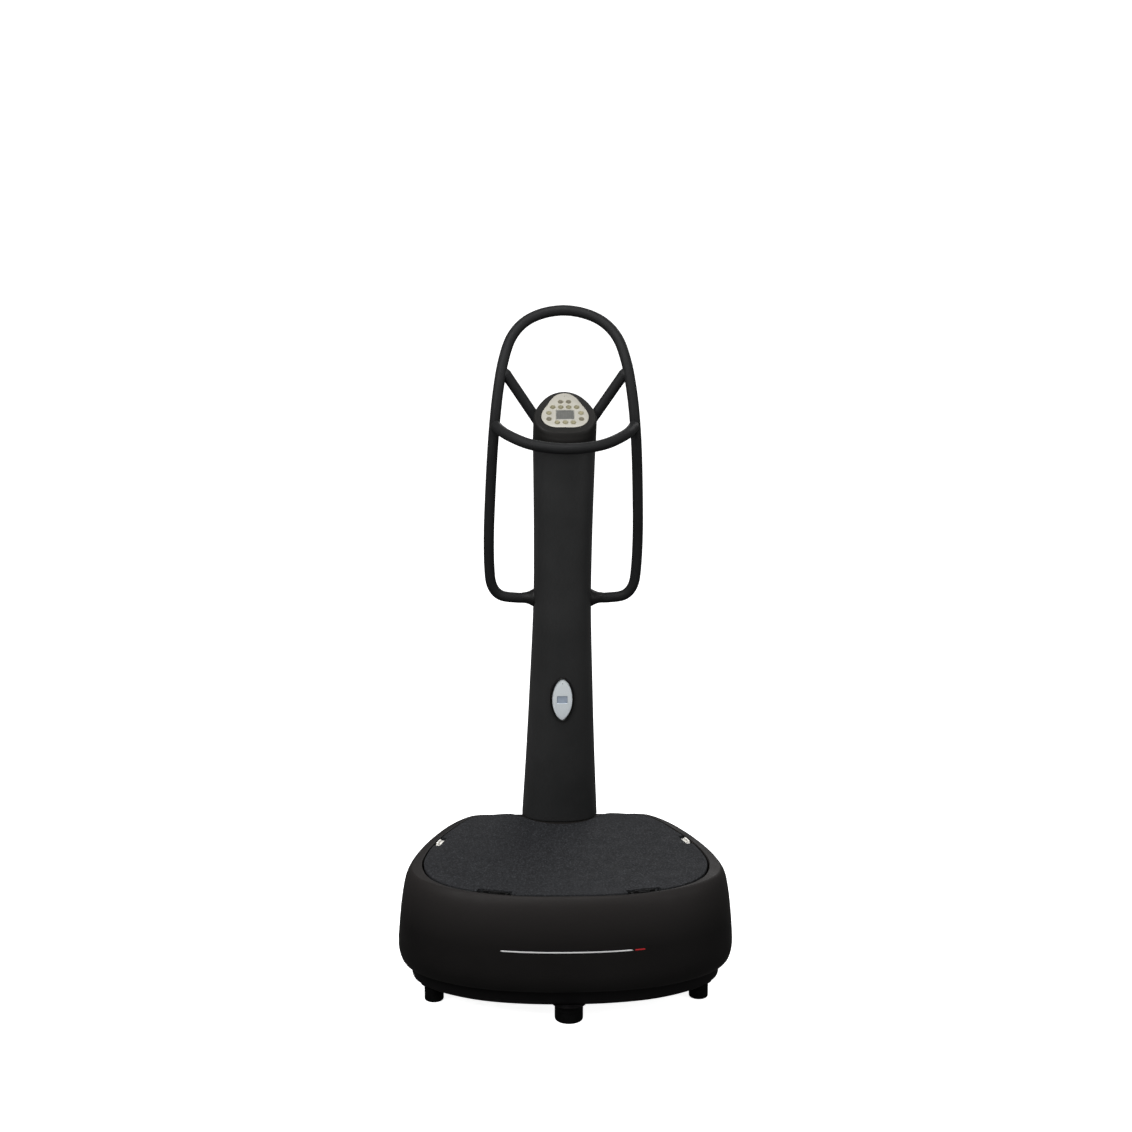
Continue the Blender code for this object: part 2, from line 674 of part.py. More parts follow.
def column_shell(name, first, last, plastic):
    """Half of the column's casing, between two directions in degrees seen from above."""
    steps = 18
    seam = 0.2
    angles = [radians(first + seam + (last - first - 2 * seam) * k / steps) for k in range(steps + 1)]
    rings = []
    for a in angles:
        outer = [column_point(a, section, 0.0) for section in COLUMN_SECTIONS]
        inner = [column_point(a, section, WALL) for section in reversed(COLUMN_SECTIONS)]
        for foot_point in (outer[0], inner[-1]):
            foot_point.z += COLUMN_FOOT_GAP - deck_drop(foot_point.y)
        rings.append(outer + inner)
    shell = place(name, lofted(rings), plastic)
    profile = ((0.0, TUBE_RADIUS + 0.0008), (0.4, TUBE_RADIUS + 0.0008))
    cut(shell, helper(f"arm_hole_{name}", turned(profile, (-0.2, ARM_Y, ARM_Z), (1, 0, 0), 24)))
    return shell


def column(plastic, steel):
    front = column_shell("column_front_shell", 180, 360, plastic)
    cut(front, helper("badge_hole", badge_body(0.0004, (-THROUGH, THROUGH))))
    column_shell("column_rear_shell", 0, 180, plastic)
    mast(steel)


def mast_ring(z, wider):
    y = column_axis_y(z)
    across, along = MAST_HALF_WIDTH + wider, MAST_HALF_DEPTH + wider
    corners = ((-across, -along), (across, -along), (across, along), (-across, along))
    return [Vector((x, y + dy, z)) for x, dy in corners]


def mast(steel):
    bottom = FRAME_TOP_Z + GAP
    flange, thickness = MAST_FLANGE
    levels = (
        (bottom, flange), (bottom + thickness, flange), (bottom + thickness, 0.0),
        (MAST_TOP_Z, 0.0), (MAST_TOP_Z, -MAST_WALL), (bottom, -MAST_WALL),
    )
    rings = [mast_ring(z, wider) for z, wider in levels]
    made = place("column_mast", lofted(rings, tube=True), steel)
    y = column_axis_y(CABLE_EXIT_Z)
    slot = turned(((0.0, 0.009), (0.06, 0.009)), (0.0, y - 0.06, CABLE_EXIT_Z), (0, 1, 0), 16)
    cut(made, helper("cable_exit", slot))
    return made


def console_cable(rubber):
    """The lead from the console's board, down inside the mast and out to the controller."""
    start = face_point(0.0, -0.012, -0.0145)
    route = (
        start, start - FACE_OUT * 0.012,
        (0.0, column_axis_y(1.22) - 0.004, 1.222), (0.0, column_axis_y(1.1), 1.1),
        (0.0, column_axis_y(0.7), 0.7), (0.0, column_axis_y(0.3), 0.3),
        (0.0, column_axis_y(0.17) - 0.004, 0.17),
        (0.0, column_axis_y(CABLE_EXIT_Z) - 0.016, CABLE_EXIT_Z + 0.006),
        (0.0, 0.2, CABLE_EXIT_Z), (0.0, 0.1, CABLE_EXIT_Z), (0.0, CROSS_BEAM_YS[1] + 0.0155, CABLE_EXIT_Z),
    )
    place("console_cable", swept(smooth(route, 3), CABLE_RADIUS, 8), rubber)


# ---------------------------------------------------------------- displays and buttons


def badge_body(margin, levels):
    """The almond outline of the small display, pushed through the column's front."""
    out = Vector((0.0, -cos(BADGE_TILT), -sin(BADGE_TILT)))
    up = Vector((0.0, -sin(BADGE_TILT), cos(BADGE_TILT)))
    middle = badge_centre()
    flat = [middle + Vector((x, 0, 0)) + up * z for x, z in almond(margin)]
    return lofted([[p + out * level for p in flat] for level in levels])


def badge_centre():
    return Vector((0.0, column_axis_y(BADGE_Z) - BADGE_AHEAD, BADGE_Z))


def almond(margin, sides=32):
    half_width, half_height = BADGE_HALF[0] + margin, BADGE_HALF[1] + margin
    outline = []
    for k in range(sides):
        a = 2 * pi * k / sides
        sharper = 1.32 if sin(a) < 0 else 1.12
        width = abs(cos(a)) ** sharper * (1 if cos(a) >= 0 else -1)
        outline.append((half_width * width, half_height * sin(a)))
    return outline


def column_display(plastic, face, glass):
    bezel = place("column_display_bezel", badge_body(0.0, (-0.014, 0.0035)), plastic)
    cut(bezel, helper("bezel_opening", badge_body(-BADGE_RIM, (-THROUGH, THROUGH))))
    panel = place("column_display_panel", badge_body(-BADGE_RIM - GAP, (-0.009, 0.001)), face)
    centre = badge_centre()
    out = Vector((0.0, -cos(BADGE_TILT), -sin(BADGE_TILT)))
    window = badge_window(centre, BADGE_WINDOW_HALF, out, (-THROUGH, THROUGH))
    cut(panel, helper("column_display_window", window))
    inner = [side - GAP for side in BADGE_WINDOW_HALF]
    place("column_display_lcd", badge_window(centre, inner, out, (-0.008, 0.0003)), glass)


def badge_window(centre, half, out, levels):
    up = Vector((0.0, out.z, -out.y))
    corners = ((-1, -1), (1, -1), (1, 1), (-1, 1))
    flat = [centre + Vector((half[0] * i, 0, 0)) + up * half[1] * j for i, j in corners]
    return lofted([[p + out * level for p in flat] for level in levels])


def console_housing(plastic):
    """Hood on top of the column: its wide rounded lip runs round the sloping face."""
    top = COLUMN_SECTIONS[-1]
    turns = [2 * pi * k / FACE_SIDES for k in range(FACE_SIDES)]
    bottom = COLUMN_TOP_Z + GAP

    def level_ring(z, thinner):
        ring = [column_point(a, top, thinner) for a in turns]
        return [Vector((p.x, p.y, z)) for p in ring]

    def between(lower, upper, share):
        return [a.lerp(b, share) for a, b in zip(lower, upper)]

    base = level_ring(bottom, -0.001)
    shoulder = lip_ring(1.02, -0.011)
    hollow = lip_ring(0.93, -0.014)
    inner_base = level_ring(bottom, 0.003)
    rings = [base, between(base, shoulder, 0.45), shoulder]
    rings += [lip_ring(1.015, -0.006), lip_ring(0.985, -0.0018), lip_ring(0.94, 0.0)]
    edge = PANEL_RADIUS + 0.0005
    rings += [panel_ring(edge, 0.0), panel_ring(edge, -SEAT_DEPTH)]
    hole = PANEL_RADIUS - 0.0035
    rings += [panel_ring(hole, -SEAT_DEPTH), panel_ring(hole, -SEAT_DEPTH - 0.003)]
    rings += [hollow, between(inner_base, hollow, 0.4), inner_base]
    housing = place("console_housing", lofted(rings, tube=True), plastic)
    for word, side in (("left", -1), ("right", 1)):
        path = [Vector((side * x, y, z)) for x, y, z in BRACE_LINE]
        cut(housing, helper(f"housing_brace_hole_{word}", swept(path, BRACE_RADIUS + 0.0008, 16)))
    return housing


def console_panel(face, glass, board_green):
    levels = (-SEAT_DEPTH + GAP, -SEAT_DEPTH + GAP + PANEL_THICKNESS)
    sheet = lofted([panel_ring(PANEL_RADIUS, h) for h in levels])
    panel = place("console_panel", sheet, face)
    holes = []
    for _, up, acrosses in BUTTON_ROWS:
        for across in acrosses:
            profile = ((0.0, BUTTON_HOLE_RADIUS), (0.03, BUTTON_HOLE_RADIUS))
            holes.append(turned(profile, face_point(across, up, -0.015), FACE_OUT, 12))
    holes.append(face_block(LCD_HALF, (-0.015, 0.015)))
    cut(panel, helper("panel_holes", joined(*holes)))
    glass_half = (LCD_HALF[0] - GAP, LCD_HALF[1] - GAP)
    place("console_lcd", face_block(glass_half, (-0.0085, -0.0007)), glass)
    board = [panel_ring(BOARD_RADIUS, h, sides=24) for h in BOARD_HEIGHTS]
    place("console_board", lofted(board), board_green)


def face_block(half, levels):
    corners = ((-1, -1), (1, -1), (1, 1), (-1, 1))
    flat = [face_point(half[0] * i, LCD_CENTRE_UP + half[1] * j, 0.0) for i, j in corners]
    return lofted([[p + FACE_OUT * h for p in flat] for h in levels])


def push_buttons(keys):
    low, high = BUTTON_HEIGHTS
    dome = 0.0006
    reach = high - low
    profile = ((0.0, BUTTON_RADIUS), (reach - dome, BUTTON_RADIUS), (reach, BUTTON_RADIUS * 0.8))
    for row, up, acrosses in BUTTON_ROWS:
        for i, across in enumerate(acrosses):
            start = face_point(across, up, low)
            place(f"button_{row}_{i + 1}", turned(profile, start, FACE_OUT, 12), keys, origin=start)


# ---------------------------------------------------------------- handle


def handle(paint, plastic):
    path = smooth(whole_path(LOOP_HALF), SAMPLES)
    place("handle_loop", swept(path, TUBE_RADIUS), paint)
    clearance = helper("loop_clearance", swept(path, TUBE_RADIUS + 0.0004))
    bar = place("handle_front_bar", swept(smooth(whole_path(FRONT_BAR_HALF), 3), TUBE_RADIUS), paint)
    cut(bar, clearance)
    for word, side in (("left", -1), ("right", 1)):
        line = [Vector((side * x, y, z)) for x, y, z in BRACE_LINE]
        brace = place(f"handle_brace_{word}", swept(line, BRACE_RADIUS), paint)
        cut(brace, clearance)
        beside_mast = MAST_HALF_WIDTH + 0.0005
        zone = block((-beside_mast, 0.0, 1.1), (beside_mast, 0.2, 1.3))
        cut(brace, helper(f"mast_side_{word}", zone))
        start = (side * COLLAR_START_X, ARM_Y, ARM_Z)
        bored = COLLAR_PROFILE + ((0.019, TUBE_RADIUS + 0.001), (0.0, TUBE_RADIUS + 0.001))
        place(f"handle_collar_{word}", turned(bored, start, (side, 0, 0), 16, tube=True), plastic)


def build():
    clear_scene()
    black_plastic = material("black_plastic", (0.016, 0.016, 0.017), 0.42)
    pan_plastic = material("underpan_plastic", (0.004, 0.004, 0.004), 0.6)
    frame_steel = material("frame_steel", (0.03, 0.03, 0.032), 0.5, 0.6)
    handle_paint = material("handle_paint", (0.02, 0.021, 0.022), 0.55)
    mat_rubber = material("mat_rubber", (0.03, 0.032, 0.036), 0.9)
    black_rubber = material("black_rubber", (0.006, 0.006, 0.006), 0.8)
    steel = material("bright_steel", (0.5, 0.49, 0.47), 0.35, 1.0)
    panel_beige = material("panel_beige", (0.53, 0.49, 0.44), 0.45)
    display_grey = material("display_grey", (0.42, 0.46, 0.49), 0.4)
    lcd_glass = material("lcd_glass", (0.2, 0.21, 0.2), 0.2)
    key_olive = material("key_olive", (0.16, 0.15, 0.08), 0.4)
    board_green = material("board_green", (0.01, 0.09, 0.03), 0.5)
    motor_paint = material("motor_paint", (0.05, 0.06, 0.08), 0.5)
    switch_red = material("switch_red", (0.35, 0.01, 0.01), 0.35)

    base_frame(frame_steel)
    underpan(pan_plastic)
    base_cover(black_plastic)
    for name, spot, radius in FEET:
        foot(name, spot, radius, black_rubber)
    wheels(black_rubber, steel)
    power_inlet(pan_plastic, switch_red)
    controller_box(motor_paint)
    platform(frame_steel, mat_rubber)
    strap_anchors(black_plastic, steel)
    motors(motor_paint, steel)
    isolators(black_rubber)
    column(black_plastic, frame_steel)
    console_cable(black_rubber)
    column_display(pan_plastic, display_grey, lcd_glass)
    console_housing(black_plastic)
    console_panel(panel_beige, lcd_glass, board_green)
    push_buttons(key_olive)
    handle(handle_paint, black_plastic)


build()
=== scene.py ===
"""Looks of the vibration plate: moulded shells, welded tubes, rubber mat, displays, light and camera.

Everything is in metres in the CAD frame: +Z is up and the user stands on the -Y side of the column. The
outlines and sections are the CAD's own, drawn finer.
"""

from math import cos, exp, pi, radians, sin

import bmesh
import bpy
from mathutils import Matrix, Vector
from mathutils.bvhtree import BVHTree
from mathutils.kdtree import KDTree


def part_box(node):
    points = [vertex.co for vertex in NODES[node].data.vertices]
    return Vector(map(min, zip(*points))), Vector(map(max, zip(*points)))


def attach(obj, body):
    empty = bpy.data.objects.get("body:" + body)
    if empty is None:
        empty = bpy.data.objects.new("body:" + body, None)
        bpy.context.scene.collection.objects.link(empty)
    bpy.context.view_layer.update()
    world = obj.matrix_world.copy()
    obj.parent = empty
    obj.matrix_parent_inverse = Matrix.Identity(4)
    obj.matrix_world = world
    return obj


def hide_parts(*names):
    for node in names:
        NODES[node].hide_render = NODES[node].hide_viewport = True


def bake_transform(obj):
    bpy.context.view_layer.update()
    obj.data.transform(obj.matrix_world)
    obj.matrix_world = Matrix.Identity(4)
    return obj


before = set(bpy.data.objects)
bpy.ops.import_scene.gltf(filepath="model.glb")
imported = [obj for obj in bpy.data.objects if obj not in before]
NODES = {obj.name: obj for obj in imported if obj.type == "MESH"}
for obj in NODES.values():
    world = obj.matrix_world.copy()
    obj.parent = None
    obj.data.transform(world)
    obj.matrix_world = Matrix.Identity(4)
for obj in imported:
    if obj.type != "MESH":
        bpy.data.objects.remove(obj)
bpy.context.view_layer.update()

# ------------ sizes shared with the CAD

PLAN_STEPS = 7  # curve points per stretch of an outline
WALL = 0.003
UP = Vector((0.0, 0.0, 1.0))
RIGHT = Vector((1.0, 0.0, 0.0))
BASE_HALF = (
    (0.0, -0.375), (0.11, -0.368), (0.21, -0.344), (0.298, -0.296), (0.354, -0.235),
    (0.376, -0.165), (0.371, -0.085), (0.351, 0.005), (0.321, 0.095), (0.283, 0.178),
    (0.238, 0.236), (0.18, 0.27), (0.137, 0.316), (0.085, 0.36), (0.0, 0.375),
)
PLATFORM_HALF = (
    (0.0, -0.337), (0.1, -0.332), (0.185, -0.312), (0.255, -0.274), (0.3, -0.218),
    (0.319, -0.14), (0.313, -0.06), (0.294, 0.02), (0.268, 0.09), (0.238, 0.158),
    (0.203, 0.204), (0.125, 0.226), (0.092, 0.2), (0.05, 0.158), (0.0, 0.142),
)
PLATFORM_CLEARANCE = 0.004
DECK_Z = 0.288
DECK_FALL = 0.38
DECK_FALL_START_Y = 0.225
DECK_BEND = 0.012  # half the length over which the deck bends down
COVER_PROFILE = (
    (0.079, 0.0105), (0.089, 0.0045), (0.112, 0.0), (0.15, 0.0018), (0.19, 0.0053), (0.22, 0.0088),
    (0.242, 0.0122), (0.262, 0.0162), (0.275, 0.0205), (0.2845, 0.0265), (DECK_Z, 0.0315),
)
WIDEST_Z = 0.112
COVER_FOOT = ((0.0795, 0.0135), (0.0788, 0.0118))
COVER_FOOT_INSIDE_Z = 0.084
COVER_INSIDE_LOW_Z = 0.09
COVER_INSIDE_HIGH_Z = DECK_Z - 0.006
COVER_LIP_RADIUS = 0.0025
COVER_LIP_Z = DECK_Z - 0.014
PAN_BOTTOM_Z = 0.0385
PAN_TOP_Z = 0.1
PAN_PROFILE = ((PAN_BOTTOM_Z, 0.046), (0.0395, 0.038), (0.0435, 0.0325), (0.05, 0.0295), (PAN_TOP_Z, 0.0255))
DECK_RINGS = 16
MAST_HOLE_HALF = (0.038, 0.028)
PAN_SCREW_INSET = 0.062
PAN_SCREW_EVERY = 14
PAN_SCREW_CLEARANCE = 0.055
PAN_SCREW_LAST_Y = 0.27
BOSS_PROFILE = ((0.0375, 0.004), (0.0382, 0.0058), (0.0392, 0.0075), (0.041, 0.008))
FOOT_PROFILE = (
    (0.0, 0.0045), (0.0006, 0.002), (0.002, 0.0006), (0.0045, 0.0), (0.0215, 0.0), (0.0221, 0.0007),
    (0.0235, 0.0007), (0.0241, 0.0), (0.0335, 0.0), (0.0358, 0.0006), (0.037, 0.002),
)
STUD_COLLAR = ((0.0372, 0.0085), (0.0372, 0.006))
STUD_HOLE_RADIUS = 0.008
STUD_TOP_Z = 0.1
THREAD_START_Z = 0.038
THREAD_PITCH = 0.00125
THREAD_RADII = (0.0053, 0.006)
SCREW_HEAD = ((0.0, 1.0), (0.25, 1.0), (0.5, 0.82), (0.6, 0.5))  # heights and reaches over the radius
SCREW_RECESS_HEIGHTS = (0.58, 0.2)
SCREW_RECESS = 0.42
MAT_TOP_Z = 0.2895
PLATE_TOP_Z = 0.283
PLATE_LEVELS = ((0.2745, 0.0008), (0.2753, 0.0), (0.2822, 0.0), (PLATE_TOP_Z, 0.0008))
MAT_LEVELS = (
    (0.2833, 0.0004), (0.2837, 0.0), (0.2878, 0.0), (0.2887, 0.0003), (0.2893, 0.0009),
    (MAT_TOP_Z, 0.0018), (MAT_TOP_Z, 0.0022), (MAT_TOP_Z, 0.0026),
)
WHEEL_X = 0.092
WHEEL_HALF_WIDTH = 0.0105
AXLE_Y = 0.335
AXLE_Z = 0.034
AXLE_HALF = 0.109
HUB_HALF = (
    (0.0095, 0.0184), (0.0095, 0.0165), (0.003, 0.0155), (0.003, 0.0085), (0.011, 0.0075), (0.011, 0.0046),
)
WASHER_PLACES_X = (-0.1045, -0.0795, 0.0795, 0.1045)
LUG_X = 0.075
LUG_OUTLINE = (
    (0.0, -0.008), (0.006, -0.0065), (0.0095, -0.001), (0.01, 0.028), (-0.01, 0.028), (-0.0095, -0.001),
    (-0.006, -0.0065),
)
WELL_HALF_WIDTH = 0.024
WELL_FRONT_Y = 0.302
WELL_BACK_Y = 0.395
WELL_TOP_Z = 0.065

COLUMN_SECTIONS = (
    (DECK_Z, 0.0915, 0.088, 0.085),
    (0.38, 0.0865, 0.086, 0.081),
    (0.48, 0.0815, 0.082, 0.076),
    (0.62, 0.0755, 0.078, 0.071),
    (0.82, 0.0682, 0.071, 0.065),
    (1.0, 0.068, 0.066, 0.061),
    (1.205, 0.0715, 0.062, 0.058),
)
COLUMN_FOOT_Y = 0.248
COLUMN_LEAN = 0.176
COLUMN_SQUARENESS = 2.4
COLUMN_FOOT_GAP = 0.0015
COLUMN_TOP_Z = 1.205
COLUMN_SEAM_DEGREES = 0.2
COLUMN_SCREW_HEIGHTS = (0.42, 0.78, 1.12)
COLUMN_SCREW_DEGREES = (55, 125)
SCREW_WELL_DEPTH = 0.0016
CASING_GAP = 0.0008

FACE_CENTRE = Vector((0.0, 0.055, 1.288))
FACE_TILT = radians(38)
FACE_UP = Vector((0.0, cos(FACE_TILT), sin(FACE_TILT)))
FACE_OUT = Vector((0.0, -sin(FACE_TILT), cos(FACE_TILT)))
PANEL_RADIUS = 0.0536
PANEL_CORNERS = 0.12
PANEL_STRETCH = (0.95, 1.04)
HOUSING_RADIUS = 0.0694
HOUSING_CORNERS = 0.06
HOUSING_DROP = 0.005
HOOD_FLANK = ((0.15, 0.4), (0.4, 0.8), (0.7, 1.0))
PANEL_SLACK = 0.0005
PANEL_TOP = -0.0002
BEAD = ((0.0014, -0.0012), (0.0011, -0.0003), (0.0006, 0.0001), (0.0001, -0.0003), (0.0, -0.003))
LEDGE_WIDTH = 0.0035
LEDGE_DEPTHS = (-0.003, -0.006)
BUTTON_RADIUS = 0.0051
BUTTON_HOLE_RADIUS = 0.0055
BUTTON_ROWS = (
    ("top", 0.0335, (-0.009, 0.009)),
    ("upper", 0.0159, (-0.027, -0.009, 0.009, 0.027)),
    ("side", -0.0033, (-0.0362, 0.0362)),
    ("lower", -0.0227, (-0.0366, 0.0366)),
    ("bottom", -0.0336, (-0.018, 0.0, 0.018)),
)
KEY_PROFILE = (
    (0.0, 0.0), (0.0072, 0.0), (0.008, 0.0002), (0.0085, 0.0007), (0.0087, 0.0013), (0.0085, 0.0019),
    (0.0083, 0.0028), (0.0082, 0.004),
)
KEY_SURROUND = ((0.0, 0.0069), (0.0003, 0.0067), (0.0005, 0.0062), (0.0004, 0.0057), (0.0, 0.0056))
SCREEN_FRAME = (
    (-0.006, 0.0003), (-0.0003, 0.0003), (-0.0002, 0.0005), (-0.0003, 0.0012), (-0.0014, 0.0017),
    (-0.006, 0.0017),
)
LCD_CENTRE_UP = -0.0087
LCD_HALF = (0.021, 0.0153)

BADGE_Z = 0.604
BADGE_HALF = (0.0285, 0.0565)
BADGE_TILT = radians(8.5)
BADGE_CENTRE = Vector((0.0, COLUMN_FOOT_Y - (BADGE_Z - DECK_Z) * COLUMN_LEAN - 0.0785, BADGE_Z))
BADGE_UP = Vector((0.0, -sin(BADGE_TILT), cos(BADGE_TILT)))
BADGE_OUT = Vector((0.0, -cos(BADGE_TILT), -sin(BADGE_TILT)))
BADGE_RIM = (
    (-0.014, 0.0), (0.0012, 0.0), (0.0024, -0.0004), (0.0032, -0.0013), (0.0035, -0.0024), (0.003, -0.0036),
    (0.0018, -0.0043), (-0.014, -0.0045),
)
BADGE_FACE = (
    (-0.009, -0.0048), (0.0006, -0.0048), (0.0011, -0.0053), (0.0013, -0.0075), (0.0016, -0.013),
    (0.0017, -0.019),
)

TUBE_RADIUS = 0.0122
BRACE_RADIUS = 0.012
ARM_Y = 0.146
ARM_Z = 0.843
LOOP_HALF = (
    (0.0355, ARM_Y, ARM_Z), (0.075, ARM_Y, ARM_Z), (0.108, ARM_Y, ARM_Z),
    (0.145, 0.142, 0.85), (0.165, 0.134, 0.875), (0.171, 0.122, 0.92), (0.172, 0.1, 1.0),
    (0.169, 0.077, 1.09), (0.164, 0.056, 1.19), (0.158, 0.048, 1.27), (0.15, 0.056, 1.34),
    (0.139, 0.075, 1.4), (0.1215, 0.1, 1.45), (0.092, 0.125, 1.484), (0.0505, 0.141, 1.504),
    (0.0, 0.146, 1.5115),
)
FRONT_BAR_HALF = ((0.159, 0.048, 1.26), (0.132, -0.022, 1.245), (0.076, -0.076, 1.228), (0.0, -0.095, 1.2215))
BRACE_LINE = ((0.1425, 0.069, 1.386), (0.0355, 0.092, 1.227))
WELD_HEIGHTS = (0.0006, 0.002)
WELD_REACH = 0.004
WELD_SINK = 0.006
COLLAR_BORE = 0.008
COLLAR_START_X = 0.0682
COLLAR_PROFILE = (
    (-0.007, 0.0218), (0.0, 0.0206), (0.004, 0.0188), (0.01, 0.0157), (0.018, 0.0133), (0.026, 0.01235),
)

FEET = {
    "foot_front": 0.031, "foot_left": 0.0215, "foot_right": 0.0215,
    "foot_rear_left": 0.0215, "foot_rear_right": 0.0215,
}
ANCHORS = (
    ("strap_anchor_front_left", (-0.163, -0.3185), 15.0, 0.075),
    ("strap_anchor_front_right", (0.163, -0.3185), -15.0, 0.075),
    ("strap_anchor_rear_left", (-0.2935, 0.022), 106.0, 0.042),
    ("strap_anchor_rear_right", (0.2935, 0.022), -106.0, 0.042),
)
ANCHOR_PLATE_LEVELS = ((0.0, 0.0), (0.0022, 0.0), (0.0028, 0.0003), (0.003, 0.0009))
NOTCH_DEPTH = 0.015
FRONT_NOTCH_SLACK = 0.0015
REAR_NOTCH_SLACK = 0.008
INLET_CENTRE = Vector((0.0, 0.3725, 0.165))
INLET_HALF = (0.036, 0.016)
INLET_LEVELS = (
    (-0.034, 0.0015), (-0.002, 0.0015), (-0.0018, 0.0), (0.001, 0.0), (0.0018, 0.0004), (0.002, 0.0012),
)
ROCKER_X = 0.021
SOCKET_X = -0.012
TRIM_Z = 0.172
TRIM_HALF_HEIGHT = 0.0014
TRIM_SECTION = ((-1, -0.0004), (-1, 0.0001), (-0.8, 0.0003), (0.8, 0.0003), (1, 0.0001), (1, -0.0004))
SHOULDER_LIGHT_REACH_Y = (-0.16, 0.06)  # from the strongest painted highlight near the front to the weakest behind
FLOOR_Z = -0.0004  # just below the feet's soles

SWEEP_FRONT_Y = -6.0
SWEEP_BEND_Y = 3.5
SWEEP_BEND = 1.5
SWEEP_TOP_Z = 7.0
SWEEP_HALF_WIDTH = 9.0
STUDIO_LIGHTS = (  # name, place, aim, size and power
    ("key_light", (-2.4, -2.4, 2.9), (0, 0.1, 0.7), (1.8, 2.4), 112),
    ("fill_light", (2.7, -2.0, 1.8), (0, 0.1, 0.7), (1.4, 2.2), 40),
    ("bounce_light", (0, -1.5, -0.6), (0, -0.2, 0.2), (3.0, 1.6), 2.5),
    ("back_light", (1.2, 3.2, 2.7), (0, 0.1, 0.6), (2.4, 1.6), 50),
    ("top_light", (-0.2, -1.0, 3.3), (0, -0.05, 0.4), (2.2, 1.2), 78),
)
WORLD_STRENGTH = 0.12
CAMERA_DISTANCE = 4.0724
CAMERA_HEIGHT = 1.6817
CAMERA_PITCH = radians(10.2664)
CAMERA_TURN = radians(-2.4347)
CAMERA_ROLL = radians(0.3238)
CAMERA_LENS = 58.2146
CAMERA_SHIFT = (0.0008, 0.0002)


# ------------ curves and outlines


def curve(points, steps, closed=False):
    """Points on a smooth curve through the given ones, with the given number of steps between each two."""
    points = [Vector(p) for p in points]
    count = len(points)
    found = []
    for i in range(count if closed else count - 1):
        if closed:
            a, b, c, d = (points[(i + k) % count] for k in (-1, 0, 1, 2))
        else:
            a, b, c, d = (points[min(max(i + k, 0), count - 1)] for k in (-1, 0, 1, 2))
        for step in range(steps):
            t = step / steps
            squared, cubed = (2 * a - 5 * b + 4 * c - d) * t**2, (3 * b - a - 3 * c + d) * t**3
            found.append(0.5 * (2 * b + (c - a) * t + squared + cubed))
    return found if closed else found + [points[-1]]


def whole_path(half):
    """A path across the middle from its right half, which ends on the middle plane."""
    right = [Vector(p) for p in half]
    return right + [Vector((-p.x, p.y, p.z)) for p in right[-2::-1]]


def plan_outline(half, steps=PLAN_STEPS):
    """A closed outline in plan from its right half, anticlockwise from the front."""
    right = [Vector((x, y, 0.0)) for x, y in half]
    left = [Vector((-p.x, p.y, 0.0)) for p in right[-2:0:-1]]
    return curve(right + left, steps, closed=True)


def inset(outline, distance, z=0.0):
    """The outline moved towards its inside, at the given height."""
    count = len(outline)
    moved = []
    for i, point in enumerate(outline):
        along = (outline[(i + 1) % count] - outline[i - 1]).normalized()
        moved.append(Vector((point.x - along.y * distance, point.y + along.x * distance, z)))
    return moved


def between(first, second, share):
    return [a.lerp(b, share) for a, b in zip(first, second)]


def rounded_rectangle(half_x, half_y, radius, steps=6):
    """Corner arcs of a rectangle about the origin, anticlockwise, as pairs."""
    points = []
    for corner, (sx, sy) in enumerate(((1, 1), (-1, 1), (-1, -1), (1, -1))):
        for k in range(steps + 1):
            a = pi / 2 * (corner + k / steps)
            x, y = sx * (half_x - radius), sy * (half_y - radius)
            points.append((x + radius * cos(a), y + radius * sin(a)))
    return points


# ------------ solids


def lofted(rings, tube=False):
    """A closed body through rings of equal length: capped at both ends or, as a tube, joined end to end."""
    body = bmesh.new()
    loops = [[body.verts.new(p) for p in ring] for ring in rings]
    count = len(loops[0])
    pairs = list(zip(loops, loops[1:]))
    if tube:
        pairs.append((loops[-1], loops[0]))
    else:
        body.faces.new(loops[0][::-1])
        body.faces.new(loops[-1])
    for lower, upper in pairs:
        for i in range(count):
            j = (i + 1) % count
            body.faces.new((lower[i], lower[j], upper[j], upper[i]))
    bmesh.ops.recalc_face_normals(body, faces=body.faces)
    if body.calc_volume(signed=True) < 0:
        bmesh.ops.reverse_faces(body, faces=body.faces)
    return body


def frame_about(direction):
    direction = Vector(direction).normalized()
    guide = Vector((0, 0, 1)) if abs(direction.z) < 0.9 else Vector((0, 1, 0))
    across = direction.cross(guide).normalized()
    return direction, across, direction.cross(across)


def turned(profile, start, direction, sides=48, tube=False):
    """A round body about a line: the profile holds distances along it with their radii."""
    direction, across, beside = frame_about(direction)
    start = Vector(start)
    rings = []
    for distance, radius in profile:
        centre = start + direction * distance
        turns = (2 * pi * k / sides for k in range(sides))
        rings.append([centre + (across * cos(a) + beside * sin(a)) * radius for a in turns])
    return lofted(rings, tube)


def swept(path, radius, sides=32, swell=None):
    """A round bar along a path. A swell gives how far each surface point stands out from the bar."""
    path = [Vector(p) for p in path]
    across = None
    rings = []
    for i, point in enumerate(path):
        along = (path[min(i + 1, len(path) - 1)] - path[max(i - 1, 0)]).normalized()
        if across is None:
            across = frame_about(along)[1]
        across = (across - along * across.dot(along)).normalized()
        beside = along.cross(across)
        ring = []
        for k in range(sides):
            a = 2 * pi * k / sides
            outward = across * cos(a) + beside * sin(a)
            surface = point + outward * radius
            ring.append(surface + outward * swell(point, surface) if swell else surface)
        rings.append(ring)
    return lofted(rings)


def slab(outline, origin, right, up, levels):
    """A flat outline pushed along right x up; each level is a height and how far the outline shrinks."""
    origin, right, up = Vector(origin), Vector(right), Vector(up)
    out = right.cross(up)
    flat = [Vector((x, y, 0.0)) for x, y in outline]
    rings = []
    for height, shrink in levels:
        rings.append([origin + right * p.x + up * p.y + out * height for p in inset(flat, shrink)])
    return lofted(rings)


